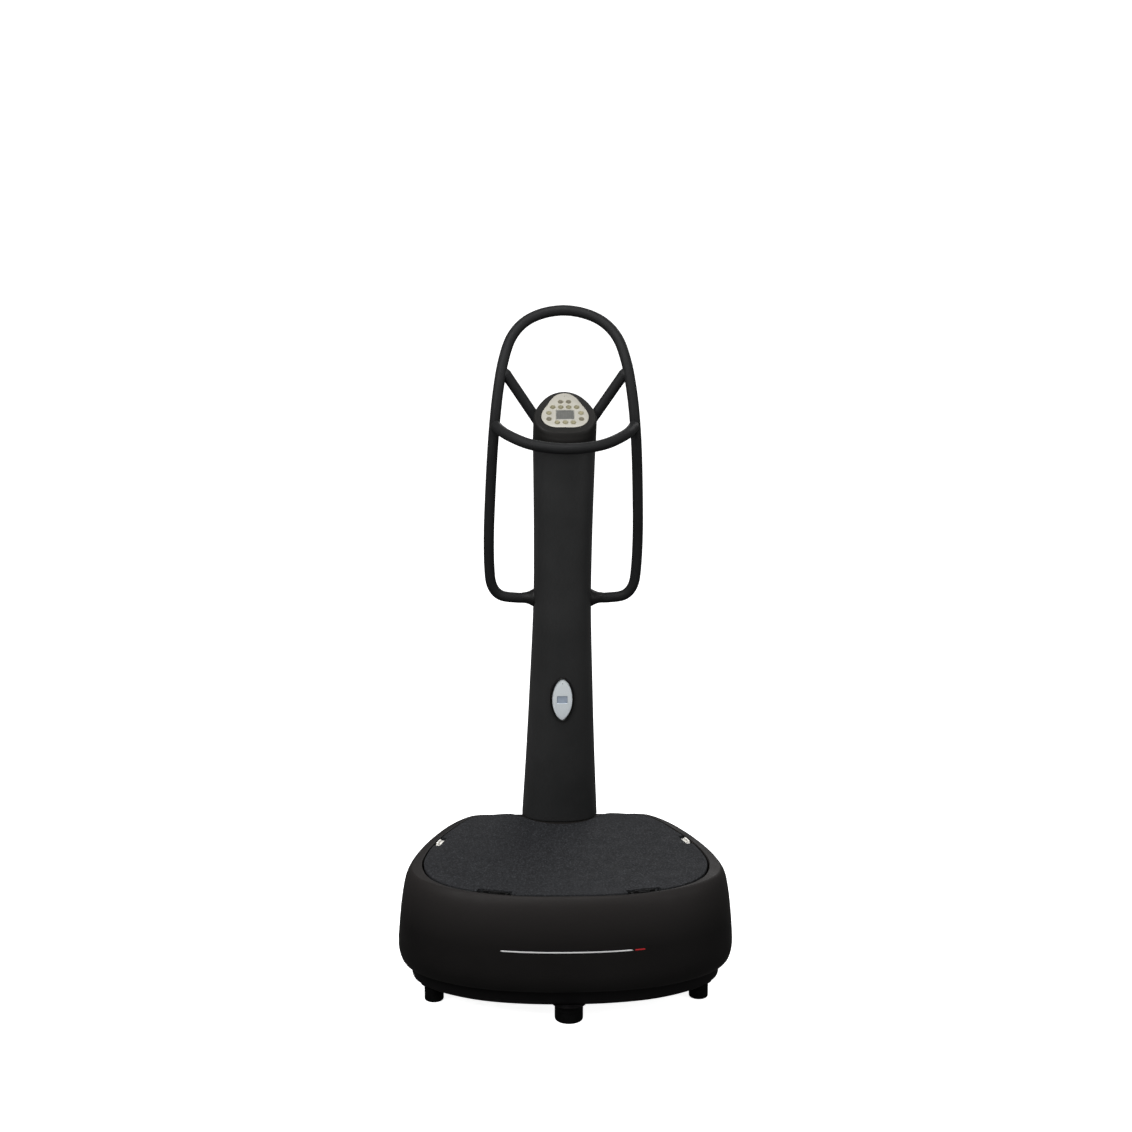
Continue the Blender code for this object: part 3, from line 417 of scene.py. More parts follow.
def block(low, high):
    (x0, y0, z0), (x1, y1, z1) = low, high
    ring = ((x0, y0), (x1, y0), (x1, y1), (x0, y1))
    return lofted([[Vector((x, y, z)) for x, y in ring] for z in (z0, z1)])


def joined(*bodies):
    """Several closed bodies as one mesh."""
    whole = bmesh.new()
    for body in bodies:
        piece = bpy.data.meshes.new("piece")
        body.to_mesh(piece)
        body.free()
        whole.from_mesh(piece)
        bpy.data.meshes.remove(piece)
    return whole


def new_object(name, body, sharp=38):
    mesh = bpy.data.meshes.new(name)
    body.to_mesh(mesh)
    body.free()
    made = bpy.data.objects.new(name, mesh)
    bpy.context.scene.collection.objects.link(made)
    mesh.shade_smooth()
    mesh.set_sharp_from_angle(angle=radians(sharp))
    return made


def settle(obj, sharp=38):
    """Applies the object's modifiers to its mesh."""
    graph = bpy.context.evaluated_depsgraph_get()
    mesh = bpy.data.meshes.new_from_object(obj.evaluated_get(graph))
    obj.modifiers.clear()
    old = obj.data
    obj.data = mesh
    bpy.data.meshes.remove(old)
    mesh.shade_smooth()
    mesh.set_sharp_from_angle(angle=radians(sharp))


def carve(obj, *bodies):
    """Cuts closed bodies out of the object."""
    for body in bodies:
        tool = new_object("cutter", body)
        step = obj.modifiers.new("cut", "BOOLEAN")
        step.operation = "DIFFERENCE"
        step.solver = "EXACT"
        step.object = tool
        settle(obj)
        bpy.data.objects.remove(tool, do_unlink=True)


def dress(obj, look, body="base", stands_for=()):
    """Gives a piece its look, its CAD body and the CAD nodes that it stands for."""
    obj.data.materials.clear()
    obj.data.materials.append(LOOKS[look])
    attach(obj, body)
    if stands_for:
        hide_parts(*stands_for)


def add(name, shape, look, body="base", stands_for=(), sharp=38):
    dress(new_object(name, shape, sharp), look, body, stands_for)


# ------------ node materials


class Finish:
    """A Principled material whose colour, roughness and relief are built up from procedural layers."""

    def __init__(self, name, roughness=0.5, metallic=0.0, **constants):
        self.material = bpy.data.materials.new(name)
        self.material.use_nodes = True
        self.tree = self.material.node_tree
        self.shader = self.tree.nodes["Principled BSDF"]
        self.shader.inputs["Roughness"].default_value = roughness
        self.shader.inputs["Metallic"].default_value = metallic
        for key, value in constants.items():
            self.shader.inputs[key.replace("_", " ")].default_value = value
        self.place = self.node("ShaderNodeTexCoord").outputs["Object"]
        self.height = None

    def node(self, kind, **settings):
        made = self.tree.nodes.new(kind)
        for key, value in settings.items():
            setattr(made, key, value)
        return made

    def link(self, output, socket):
        self.tree.links.new(output, socket)

    def stretched(self, scale):
        mapping = self.node("ShaderNodeMapping")
        mapping.inputs["Scale"].default_value = scale
        self.link(self.place, mapping.inputs["Vector"])
        return mapping.outputs["Vector"]

    def noise(self, scale, detail=3.0, stretch=None):
        made = self.node("ShaderNodeTexNoise")
        made.inputs["Scale"].default_value = scale
        made.inputs["Detail"].default_value = detail
        self.link(self.stretched(stretch) if stretch else self.place, made.inputs["Vector"])
        return made.outputs["Fac"]

    def clouds(self, scale, detail, low=0.3, high=0.7, to_low=0.0, to_high=1.0):
        """Noise spread out between its low and high values."""
        return self.remap(self.noise(scale, detail), low, high, to_low, to_high)

    def cells(self, scale, output="Distance", feature="F1"):
        made = self.node("ShaderNodeTexVoronoi", feature=feature)
        made.inputs["Scale"].default_value = scale
        self.link(self.place, made.inputs["Vector"])
        return made.outputs[output]

    def remap(self, source, low, high, to_low=0.0, to_high=1.0):
        made = self.node("ShaderNodeMapRange")
        for key, value in zip(("From Min", "From Max", "To Min", "To Max"), (low, high, to_low, to_high)):
            made.inputs[key].default_value = value
        self.link(source, made.inputs["Value"])
        return made.outputs["Result"]

    def times(self, first, second):
        made = self.node("ShaderNodeMath", operation="MULTIPLY")
        self.link(first, made.inputs[0])
        self.link(second, made.inputs[1])
        return made.outputs[0]

    def axis(self, index):
        made = self.node("ShaderNodeSeparateXYZ")
        self.link(self.place, made.inputs[0])
        return made.outputs[index]

    def edges(self):
        """Rises towards 1 on outside edges, where handling polishes a surface."""
        made = self.node("ShaderNodeNewGeometry")
        return self.remap(made.outputs["Pointiness"], 0.51, 0.58)

    def worn(self, *clouds):
        """Patches of wear along outside edges."""
        return self.times(self.edges(), self.clouds(*clouds))

    def blend_colours(self, first, second, share):
        """The share decides between two colours, each a colour tuple or the output of another layer."""
        made = self.node("ShaderNodeMix", data_type="RGBA")
        for socket, value in ((made.inputs[6], first), (made.inputs[7], second)):
            if isinstance(value, tuple):
                socket.default_value = (*value, 1.0)
            else:
                self.link(value, socket)
        self.link(share, made.inputs[0])
        return made.outputs[2]

    def shades(self, colour, darker, paler, share):
        """The share decides between a darker and a paler shade of one colour."""
        return self.blend_colours(shade(colour, darker), shade(colour, paler), share)

    def colour(self, output):
        self.link(output, self.shader.inputs["Base Color"])

    def rough(self, output):
        self.link(output, self.shader.inputs["Roughness"])

    def relief(self, source, distance, strength=1.0):
        """Adds a bump layer on top of those that are there."""
        made = self.node("ShaderNodeBump")
        made.inputs["Distance"].default_value = distance
        made.inputs["Strength"].default_value = strength
        self.link(source, made.inputs["Height"])
        if self.height:
            self.link(self.height, made.inputs["Normal"])
        self.height = made.outputs["Normal"]
        self.link(self.height, self.shader.inputs["Normal"])


def shade(colour, factor):
    return tuple(min(c * factor, 1.0) for c in colour)


def moulded(name, colour, roughness, specular, grain=0.00012, painted_shoulder_light=None, wear=2.2, grain_scale=1500.0):
    """Spark-textured plastic: fine even grain, faint flow marks, paler rubbed edges, and where asked a
    painted highlight that pales the high parts.
    """
    finish = Finish(name, roughness, Specular_IOR_Level=specular)
    flow = finish.clouds(7.0, 4.0)
    base = finish.shades(colour, 0.86, 1.16, flow)
    # Painted highlight: the colour grows paler from low_z up to high_z, most towards the front, standing in
    # for light from above on the shoulder.
    if painted_shoulder_light:
        low_z, high_z, factor = painted_shoulder_light
        share = finish.remap(finish.axis(2), low_z, high_z)
        share = finish.times(share, finish.remap(finish.axis(1), *SHOULDER_LIGHT_REACH_Y, 1.0, 0.25))
        base = finish.blend_colours(base, shade(colour, factor), share)
    speck = finish.clouds(grain_scale, 2.0, 0.58, 0.75)
    base = finish.blend_colours(base, shade(colour, 1.5), speck)
    worn = finish.worn(60.0, 4.0, 0.42, 0.62)
    finish.colour(finish.blend_colours(base, shade(colour, wear), worn))
    finish.rough(finish.clouds(22.0, 5.0, 0.3, 0.7, roughness - 0.05, roughness + 0.07))
    finish.relief(finish.noise(45.0, 2.0), 0.0006, 0.12)
    finish.relief(finish.noise(grain_scale, 3.0), grain)
    return finish.material


def powder_coat(name, colour, roughness=0.42, specular=0.3):
    """Baked powder paint: a soft orange-peel skin with slight changes of sheen."""
    finish = Finish(name, roughness, Specular_IOR_Level=specular)
    cloud = finish.clouds(14.0, 4.0)
    base = finish.shades(colour, 0.88, 1.14, cloud)
    worn = finish.worn(90.0, 4.0, 0.45, 0.65)
    finish.colour(finish.blend_colours(base, shade(colour, 2.0), worn))
    finish.rough(finish.clouds(35.0, 5.0, 0.3, 0.7, roughness - 0.06, roughness + 0.06))
    finish.relief(finish.noise(620.0, 2.0), 0.00022)
    finish.relief(finish.noise(2600.0, 2.0), 0.00005)
    return finish.material


def pebbled_rubber(name, colour):
    """Anti-slip mat: close rounded pebbles with tiny pale specks, and broad patches of light wear."""
    finish = Finish(name, 0.85, Specular_IOR_Level=0.15)
    cell = finish.cells(420.0, "Distance")
    tint = finish.remap(finish.cells(420.0, "Color"), 0.0, 1.0)
    base = finish.shades(colour, 0.45, 1.45, tint)
    speck = finish.clouds(330.0, 4.0, 0.52, 0.66)
    base = finish.blend_colours(base, shade(colour, 3.2), speck)
    tread = finish.clouds(5.0, 3.0, 0.4, 0.7, 0.0, 0.35)
    finish.colour(finish.blend_colours(base, shade(colour, 1.35), tread))
    finish.rough(finish.clouds(30.0, 4.0, 0.3, 0.7, 0.78, 0.92))
    finish.relief(finish.remap(cell, 0.0, 0.8, 1.0, 0.0), 0.0005, 0.8)
    finish.relief(finish.noise(2400.0, 2.0), 0.00008)
    return finish.material


def rubber(name, colour, roughness=0.75, specular=0.2):
    finish = Finish(name, roughness, Specular_IOR_Level=specular)
    bloom = finish.clouds(38.0, 5.0, 0.4, 0.75)
    base = finish.blend_colours(colour, shade(colour, 1.7), bloom)
    worn = finish.worn(150.0, 3.0, 0.4, 0.6)
    finish.colour(finish.blend_colours(base, shade(colour, 2.6), worn))
    finish.rough(finish.clouds(25.0, 4.0, 0.3, 0.7, roughness - 0.08, roughness + 0.08))
    finish.relief(finish.noise(900.0, 3.0), 0.00015)
    return finish.material


def metal(name, colour, roughness=0.3, metallic=1.0):
    """Bright metal with fine drawn scratches along X."""
    finish = Finish(name, roughness, metallic)
    drawn = finish.noise(1.0, 3.0, (40.0, 1400.0, 1400.0))
    cloud = finish.clouds(50.0, 4.0)
    base = finish.shades(colour, 0.85, 1.08, cloud)
    finish.colour(finish.blend_colours(base, shade(colour, 0.78), finish.remap(drawn, 0.45, 0.7)))
    finish.rough(finish.remap(drawn, 0.3, 0.7, roughness - 0.08, roughness + 0.12))
    finish.relief(drawn, 0.00004)
    return finish.material


def panel_film(name, colour):
    """Film over the control panel: even, with a fine darker grain."""
    finish = Finish(name, 0.42, Specular_IOR_Level=0.4)
    cloud = finish.clouds(55.0, 4.0, 0.35, 0.7)
    base = finish.shades(colour, 0.93, 1.04, cloud)
    grain = finish.clouds(2600.0, 2.0, 0.4, 0.7)
    finish.colour(finish.blend_colours(base, shade(colour, 0.9), grain))
    finish.rough(finish.clouds(90.0, 3.0, 0.3, 0.7, 0.36, 0.48))
    finish.relief(finish.noise(2600.0, 2.0), 0.00003)
    return finish.material


def key_rubber(name, colour):
    """Silicone: a dull, finely mottled skin."""
    finish = Finish(name, 0.55, Specular_IOR_Level=0.3)
    cloud = finish.clouds(700.0, 3.0, 0.35, 0.7)
    finish.colour(finish.shades(colour, 0.85, 1.12, cloud))
    finish.rough(finish.clouds(500.0, 3.0, 0.3, 0.7, 0.48, 0.62))
    finish.relief(finish.noise(3000.0, 2.0), 0.00003)
    return finish.material


def screen(name, colour, bar_scale):
    """Unlit liquid crystal with the faint upright bars of its electrodes."""
    finish = Finish(name, 0.22, Specular_IOR_Level=0.5, Coat_Weight=0.4, Coat_Roughness=0.08)
    bars = finish.node("ShaderNodeTexWave", wave_type="BANDS", bands_direction="X")
    bars.inputs["Scale"].default_value = bar_scale
    finish.link(finish.place, bars.inputs["Vector"])
    cloud = finish.clouds(160.0, 3.0, 0.35, 0.7)
    base = finish.shades(colour, 0.92, 1.08, cloud)
    share = finish.remap(bars.outputs["Fac"], 0.35, 0.9, 0.0, 0.3)
    finish.colour(finish.blend_colours(base, shade(colour, 0.68), share))
    finish.relief(finish.noise(900.0, 2.0), 0.00001)
    return finish.material


def silver_panel(name, top, bottom, low_z, high_z):
    """Silvered film, paler and bluer towards the top, with a fine sparkle."""
    finish = Finish(name, 0.38, 0.25, Specular_IOR_Level=0.5)
    share = finish.remap(finish.axis(2), low_z, high_z)
    base = finish.blend_colours(bottom, top, share)
    sparkle = finish.clouds(2200.0, 2.0, 0.6, 0.75)
    finish.colour(finish.blend_colours(base, shade(top, 1.25), sparkle))
    finish.rough(finish.clouds(120.0, 3.0, 0.3, 0.7, 0.32, 0.45))
    finish.relief(finish.noise(1800.0, 2.0), 0.00002)
    return finish.material


def ink(name, colour):
    """Screen-printed ink with slightly uneven cover."""
    finish = Finish(name, 0.5, Specular_IOR_Level=0.3)
    thin = finish.clouds(900.0, 3.0, 0.5, 0.75)
    finish.colour(finish.blend_colours(colour, shade(colour, 0.72), thin))
    finish.relief(finish.noise(1500.0, 2.0), 0.00003)
    return finish.material


def circuit_board(name):
    finish = Finish(name, 0.4, Specular_IOR_Level=0.5)
    tracks = finish.remap(finish.cells(260.0, "Distance", "DISTANCE_TO_EDGE"), 0.03, 0.06)
    finish.colour(finish.blend_colours((0.02, 0.16, 0.06), (0.005, 0.07, 0.025), tracks))
    finish.relief(tracks, 0.00005)
    return finish.material


def hammered(name, colour):
    """Hammer-finish enamel of the motors and their controller."""
    finish = Finish(name, 0.38, 0.2, Specular_IOR_Level=0.5)
    dimples = finish.cells(240.0, "Distance", "SMOOTH_F1")
    finish.colour(finish.shades(colour, 0.8, 1.3, finish.remap(dimples, 0.1, 0.7)))
    finish.relief(dimples, 0.0004)
    return finish.material


LOOKS = {
    # The cover's shoulder takes a painted highlight: paler towards the top and the front.
    "cover": moulded("cover_plastic", (0.006, 0.0054, 0.0052), 0.55, 0.1, painted_shoulder_light=(0.175, 0.262, 2.7)),
    "column": moulded("column_plastic", (0.0196, 0.0199, 0.0201), 0.46, 0.2, wear=1.0),
    "hood": moulded("hood_plastic", (0.0098, 0.0094, 0.0088), 0.5, 0.12),
    "pan": moulded("underpan_plastic", (0.004, 0.0036, 0.0038), 0.6, 0.08),
    "dark_fitting": moulded("dark_fitting_plastic", (0.008, 0.008, 0.008), 0.5, 0.15),
    "rim": moulded("display_rim_plastic", (0.0022, 0.0022, 0.0022), 0.35, 0.2, 0.00002, wear=1.0),
    "tube": powder_coat("handle_powder_coat", (0.0128, 0.013, 0.0134), 0.52, 0.06),
    "frame": powder_coat("frame_powder_coat", (0.03, 0.03, 0.032), 0.5),
    "mat": pebbled_rubber("mat_rubber", (0.0117, 0.0122, 0.0136)),
    "rubber": rubber("black_rubber", (0.0035, 0.0035, 0.0035)),
    "foot_rubber": rubber("foot_rubber", (0.0019, 0.0019, 0.0019), 0.85, 0.05),
    "steel": metal("bright_steel", (0.62, 0.61, 0.59)),
    "bright_fitting": metal("satin_nickel", (0.85, 0.83, 0.78), 0.5, metallic=0.35),
    "panel": panel_film("panel_film", (0.3, 0.288, 0.252)),
    "key_olive": key_rubber("key_olive", (0.19, 0.172, 0.105)),
    "key_mid": key_rubber("key_mid_olive", (0.15, 0.137, 0.083)),
    "key_dark": key_rubber("key_dark_olive", (0.1, 0.09, 0.065)),
    "key_ring": key_rubber("key_surround", (0.23, 0.215, 0.155)),
    # Near-black: the plate disc takes it where it shows in the notches, and the front strap anchors take it
    # as painted shade for the shadow under the cover's rim.
    "plate": powder_coat("plate_black_and_painted_shade", (0.0032, 0.0032, 0.0032), 0.6, 0.08),
    "screen_rim": moulded("screen_rim_plastic", (0.16, 0.16, 0.145), 0.35, 0.4, 0.00002),
    "lamp": moulded("lamp_lens", (0.11, 0.115, 0.09), 0.25, 0.5, 0.00002),
    "screen": screen("console_screen", (0.096, 0.096, 0.09), 78.0),
    "small_screen": screen("column_screen", (0.33, 0.39, 0.48), 150.0),
    "silver": silver_panel("display_film", (0.8, 0.86, 0.88), (0.72, 0.77, 0.81), 0.55, 0.66),
    "white_ink": ink("pale_trim", (0.62, 0.62, 0.62)),
    "grey_ink": ink("grey_trim", (0.3, 0.3, 0.3)),
    "red_ink": ink("red_trim", (0.42, 0.012, 0.016)),
    "board": circuit_board("circuit_board"),
    "enamel": hammered("motor_enamel", (0.05, 0.06, 0.08)),
    "red_switch": moulded("switch_plastic", (0.3, 0.008, 0.008), 0.3, 0.5, 0.00002),
}
KEY_LOOKS = {
    "top": "key_dark", "upper": "key_mid", "side": "key_olive", "lower": "key_dark", "bottom": "key_olive",
}


# ------------ base


def deck_drop(y):
    """How much lower the deck is there than round the platform; it starts to fall with a soft bend."""
    past = y - DECK_FALL_START_Y
    if abs(past) < DECK_BEND:
        return DECK_FALL * (past + DECK_BEND) ** 2 / (4 * DECK_BEND)
    return max(past, 0.0) * DECK_FALL


def fallen(ring):
    """The ring lowered towards the back with the deck, by less the nearer it is to the widest level."""
    lowered = []
    for p in ring:
        share = min(max((p.z - WIDEST_Z) / (DECK_Z - WIDEST_Z), 0.0), 1.0)
        lowered.append(p - Vector((0.0, 0.0, deck_drop(p.y) * share)))
    return lowered


def column_axis_y(z):
    return COLUMN_FOOT_Y - (z - DECK_Z) * COLUMN_LEAN


def inlet_block(margin, back, front):
    (x, z), centre = INLET_HALF, INLET_CENTRE
    low = (-x - margin, centre.y + back, centre.z - z - margin)
    return block(low, (x + margin, centre.y + front, centre.z + z + margin))


def deck_rings(outline, opening, edge_inset):
    """The deck from its outer edge inwards, over the lip round the platform and down inside it."""
    edge = inset(outline, edge_inset, DECK_Z)
    brow = [Vector((p.x, p.y, DECK_Z)) for p in inset(opening, -COVER_LIP_RADIUS)]
    rings = [between(edge, brow, k / DECK_RINGS) for k in range(1, DECK_RINGS + 1)]
    for k in range(1, 6):
        a = pi / 2 * k / 5
        outward, drop = COVER_LIP_RADIUS * (1 - sin(a)), COVER_LIP_RADIUS * (1 - cos(a))
        rings.append(inset(opening, -outward, DECK_Z - drop))
    rings += [inset(opening, 0.0, COVER_LIP_Z), inset(opening, -WALL, COVER_LIP_Z)]
    return rings


def base_cover():
    """The moulded cover: rounded at its foot, turned down in a soft lip round the platform."""
    outline = plan_outline(BASE_HALF)
    opening = inset(plan_outline(PLATFORM_HALF), -PLATFORM_CLEARANCE)
    profile = curve([(z, d, 0.0) for z, d in COVER_PROFILE], 3)
    rings = [inset(outline, d, z) for z, d in COVER_FOOT]
    rings += [inset(outline, p.y, p.x) for p in profile]
    rings += deck_rings(outline, opening, profile[-1].y)
    underside = inset(opening, -WALL, DECK_Z - WALL)
    under_edge = inset(outline, profile[-1].y, DECK_Z - WALL)
    rings.append(underside)
    rings += [between(underside, under_edge, k / DECK_RINGS) for k in range(2, DECK_RINGS - 1)]
    inner = [p for p in profile[::-2] if COVER_INSIDE_LOW_Z < p.x < COVER_INSIDE_HIGH_Z]
    rings += [inset(outline, p.y + WALL, p.x - WALL * 0.6) for p in inner]
    rings.append(inset(outline, COVER_FOOT[0][1], COVER_FOOT_INSIDE_Z))
    cover = new_object("cover_shell", lofted([fallen(ring) for ring in rings], tube=True), 50)
    (x, depth), y = MAST_HOLE_HALF, column_axis_y(DECK_Z)
    carve(cover, block((-x, y - depth, DECK_Z - 0.08), (x, y + depth, DECK_Z + 0.02)))
    carve(cover, inlet_block(0.0005, -0.05, 0.05))
    trim_lines(cover)
    dress(cover, "cover", stands_for=["base_cover"])


def wheel_wells():
    wells = []
    for side in (-1, 1):
        low, high = side * WHEEL_X - WELL_HALF_WIDTH, side * WHEEL_X + WELL_HALF_WIDTH
        wells.append(block((low, WELL_FRONT_Y, 0.0), (high, WELL_BACK_Y, WELL_TOP_Z)))
    return joined(*wells)


def foot_places():
    places = {}
    for name in FEET:
        low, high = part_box(name)
        places[name] = Vector(((low.x + high.x) / 2, (low.y + high.y) / 2, 0.0))
    return places


def stud_bores(radius):
    """Round cutters for the feet's studs."""
    profile = ((0.0, radius), (0.2, radius))
    return joined(*[turned(profile, place - UP * 0.05, UP) for place in foot_places().values()])


def underpan():
    """Shallow tray under the frame, with a boss round each foot and screws along its rim."""
    outline = plan_outline(BASE_HALF)
    outside = curve([(z, d, 0.0) for z, d in PAN_PROFILE], 3)
    rings = [inset(outline, p.y, p.x) for p in outside]
    rings += [inset(outline, p.y + WALL, max(p.x, PAN_BOTTOM_Z + WALL)) for p in outside[::-1]]
    pan = new_object("underpan_tray", lofted(rings), 50)
    bosses = []
    for name, centre in foot_places().items():
        profile = [(z, FEET[name] + wider) for z, wider in BOSS_PROFILE]
        bosses.append(turned(profile, centre, UP, 64))
    carve(pan, stud_bores(STUD_HOLE_RADIUS), wheel_wells())
    dress(pan, "pan", stands_for=["underpan"])
    ring = new_object("foot_bosses", joined(*bosses))
    carve(ring, stud_bores(STUD_HOLE_RADIUS - 0.0005))
    dress(ring, "pan")
    underpan_screws(outline)


def underpan_screws(outline):
    """Screws along the pan's rim, where neither a foot nor a wheel is near."""
    screws = []
    line = inset(outline, PAN_SCREW_INSET, PAN_BOTTOM_Z - 0.0012)
    for spot in line[::PAN_SCREW_EVERY]:
        reaches = [(Vector((p.x, p.y, spot.z)) - spot).length for p in foot_places().values()]
        if min(reaches) > PAN_SCREW_CLEARANCE and spot.y < PAN_SCREW_LAST_Y:
            screws.append(screw_head(spot, (0, 0, -1), 0.0042))
    add("underpan_screws", joined(*screws), "steel")


def screw_head(seat, out, radius):
    """A pan-head screw with a hexagonal recess, its underside on the seat."""
    out, across, beside = frame_about(out)
    seat = Vector(seat)
    rings = []
    for height, reach in SCREW_HEAD:
        turns = (2 * pi * k / 24 for k in range(24))
        level = seat + out * (height * radius)
        rings.append([level + (across * cos(a) + beside * sin(a)) * (reach * radius) for a in turns])
    for height in SCREW_RECESS_HEIGHTS:
        ring = []
        for k in range(24):
            a = 2 * pi * k / 24
            corner = cos(pi / 6) / cos((a % (pi / 3)) - pi / 6)
            spoke = (across * cos(a) + beside * sin(a)) * radius * SCREW_RECESS * corner
            ring.append(seat + out * (height * radius) + spoke)
        rings.append(ring)
    return lofted(rings)


def feet():
    """Levelling pads: a rubber foot with a rounded sole, a grip groove and a threaded stud."""
    for name, centre in foot_places().items():
        profile = [(z, FEET[name] - narrower) for z, narrower in FOOT_PROFILE]
        profile += STUD_COLLAR
        for k in range(int((STUD_TOP_Z - THREAD_START_Z) / THREAD_PITCH)):
            profile.append((THREAD_START_Z + THREAD_PITCH * k, THREAD_RADII[k % 2]))
        body = turned([*profile, (STUD_TOP_Z, 0.0045)], centre, UP, 64)
        add(f"{name}_pad", body, "foot_rubber", name, [name])


def wheel(side, word):
    """A rounded tyre on a hub with six holes."""
    centre = Vector((side * WHEEL_X, AXLE_Y, AXLE_Z))
    wide = WHEEL_HALF_WIDTH
    tyre = [(-wide * cos(a), 0.0225 + 0.0045 * sin(a)) for a in (pi * k / 12 for k in range(13))]
    tyre += [(wide, 0.0185), (-wide, 0.0185)]
    body = turned(tyre, centre, RIGHT, 64, tube=True)
    add(f"wheel_tyre_{word}", body, "rubber", f"wheel_{word}", [f"transport_wheel_{word}"])
    mirrored = [(-x, r) for x, r in HUB_HALF]
    hub = [mirrored[0], *HUB_HALF, *mirrored[:0:-1]]
    disc = new_object(f"wheel_hub_{word}", turned(hub, centre, RIGHT, 64, tube=True))
    holes = []
    for k in range(6):
        a = 2 * pi * k / 6
        spot = centre + Vector((-0.012, 0.012 * cos(a), 0.012 * sin(a)))
        holes.append(turned(((0.0, 0.0024), (0.024, 0.0024)), spot, RIGHT, 20))
    carve(disc, joined(*holes))
    dress(disc, "dark_fitting", f"wheel_{word}")


def transport_wheels():
    """Two wheels on one axle, which washers and two lugs hold."""
    for side, word in ((-1, "left"), (1, "right")):
        wheel(side, word)
    end = 2 * AXLE_HALF
    rod = [(0.0, 0.0032), (0.0008, 0.004), (end - 0.0008, 0.004), (end, 0.0032)]
    axle = [turned(rod, (-AXLE_HALF, AXLE_Y, AXLE_Z), RIGHT, 32)]
    for x in WASHER_PLACES_X:
        axle.append(turned(((-0.0004, 0.0058), (0.0004, 0.0058)), (x, AXLE_Y, AXLE_Z), RIGHT, 32))
    lugs = []
    levels = ((0.0, 0.0008), (0.0008, 0.0), (0.0052, 0.0), (0.006, 0.0008))
    for x in (-LUG_X, LUG_X):
        lugs.append(slab(LUG_OUTLINE, (x - 0.003, AXLE_Y, AXLE_Z), (0, 1, 0), UP, levels))
    add("wheel_axle_rod", joined(*axle), "steel", stands_for=["wheel_axle"])
    add("wheel_axle_lugs", joined(*lugs), "frame")


def inlet_pins(socket_centre, right):
    pins = []
    for dx, dz in ((0.0, 0.0035), (-0.007, -0.0025), (0.007, -0.0025)):
        spot = socket_centre + Vector((dx, -0.0185, dz))
        shape = rounded_rectangle(0.001, 0.002, 0.0006, 4)
        pins.append(slab(shape, spot, right, UP, ((0.0, 0.0), (0.0136, 0.0), (0.0145, 0.0005))))
    add("inlet_pins", joined(*pins), "steel")


def rocker_switch():
    """The rocker with its two raised ends, on its pivot."""
    pivot = Vector((ROCKER_X, INLET_CENTRE.y - 0.006, INLET_CENTRE.z))
    face = [(0.0105 * s, 0.0062 + 0.0023 * s * s) for s in (k / 10 for k in range(-10, 11))]
    face += [(0.0095, 0.003), (0.006, -0.002), (-0.006, -0.002), (-0.0095, 0.003)]
    levels = ((-0.0072, 0.0005), (-0.0067, 0.0), (0.0067, 0.0), (0.0072, 0.0005))
    body = slab(face, pivot, UP, (0, 1, 0), levels)
    add("switch_rocker", body, "red_switch", "power_switch", ["power_switch"])


def power_inlet():
    """Mains socket with three pins beside a rocker switch, in one snap-in module."""
    right = Vector((-1, 0, 0))
    flange = rounded_rectangle(*INLET_HALF, 0.003)
    module = new_object("inlet_module", slab(flange, INLET_CENTRE, right, UP, INLET_LEVELS))
    socket_centre = INLET_CENTRE + Vector((SOCKET_X, 0, 0))
    mouth = rounded_rectangle(0.0125, 0.009, 0.003)
    socket = slab(mouth, socket_centre, right, UP, ((-0.018, 0.0), (0.0005, 0.0), (0.003, -0.0015)))
    recess_centre = INLET_CENTRE + Vector((ROCKER_X, 0, 0))
    recess_outline = rounded_rectangle(0.008, 0.0125, 0.0012)
    recess = slab(recess_outline, recess_centre, right, UP, ((-0.014, 0.0), (0.004, 0.0)))
    carve(module, socket, recess)
    dress(module, "rim", stands_for=["power_inlet"])
    inlet_pins(socket_centre, right)
    rocker_switch()


# ------------ platform


def anchor_directions(turn):
    """The directions along a strap anchor's edge and inwards from it."""
    along = Vector((cos(radians(turn)), -sin(radians(turn)), 0.0))
    inward = Vector((sin(radians(turn)), cos(radians(turn)), 0.0))
    return along, inward


def notches():
    """What is cut out of the mat's edge to make room for the strap anchors."""
    cutters = []
    for name, spot, turn, width in ANCHORS:
        slack = REAR_NOTCH_SLACK if "rear" in name else FRONT_NOTCH_SLACK
        shape = rounded_rectangle(width / 2 + slack, NOTCH_DEPTH, 0.003)
        start = Vector((*spot, PLATE_TOP_Z - 0.01))
        cutters.append(slab(shape, start, *anchor_directions(turn), ((0.0, 0.0), (0.04, 0.0))))
    return joined(*cutters)


def platform():
    """A steel plate with the rubber mat on it, both with eased edges."""
    outline = plan_outline(PLATFORM_HALF, 14)
    body = lofted([inset(outline, d, z) for z, d in PLATE_LEVELS])
    add("plate_disc", body, "plate", "platform", ["vibration_plate"])
    fine = plan_outline(PLATFORM_HALF, 24)
    mat = new_object("mat_sheet", lofted([inset(fine, d, z) for z, d in MAT_LEVELS]))
    carve(mat, notches())
    dress(mat, "mat", "platform", ["platform_mat"])


def anchor_lip(name, middle, along, width):
    """The lip that a hand strap hooks into, with a slot along it."""
    shape = rounded_rectangle(width * 0.32, 0.0036, 0.0024)
    levels = ((0.0, 0.0006), (0.0006, 0.0), (0.0034, 0.0), (0.004, 0.0006))
    lip = new_object(f"{name}_lip", slab(shape, middle, -along, UP, levels))
    slot = rounded_rectangle(width * 0.18, 0.0011, 0.001, 4)
    carve(lip, slab(slot, middle + Vector((0, 0, 0.0008)), -along, UP, ((-0.01, 0.0), (0.02, 0.0))))
    return lip


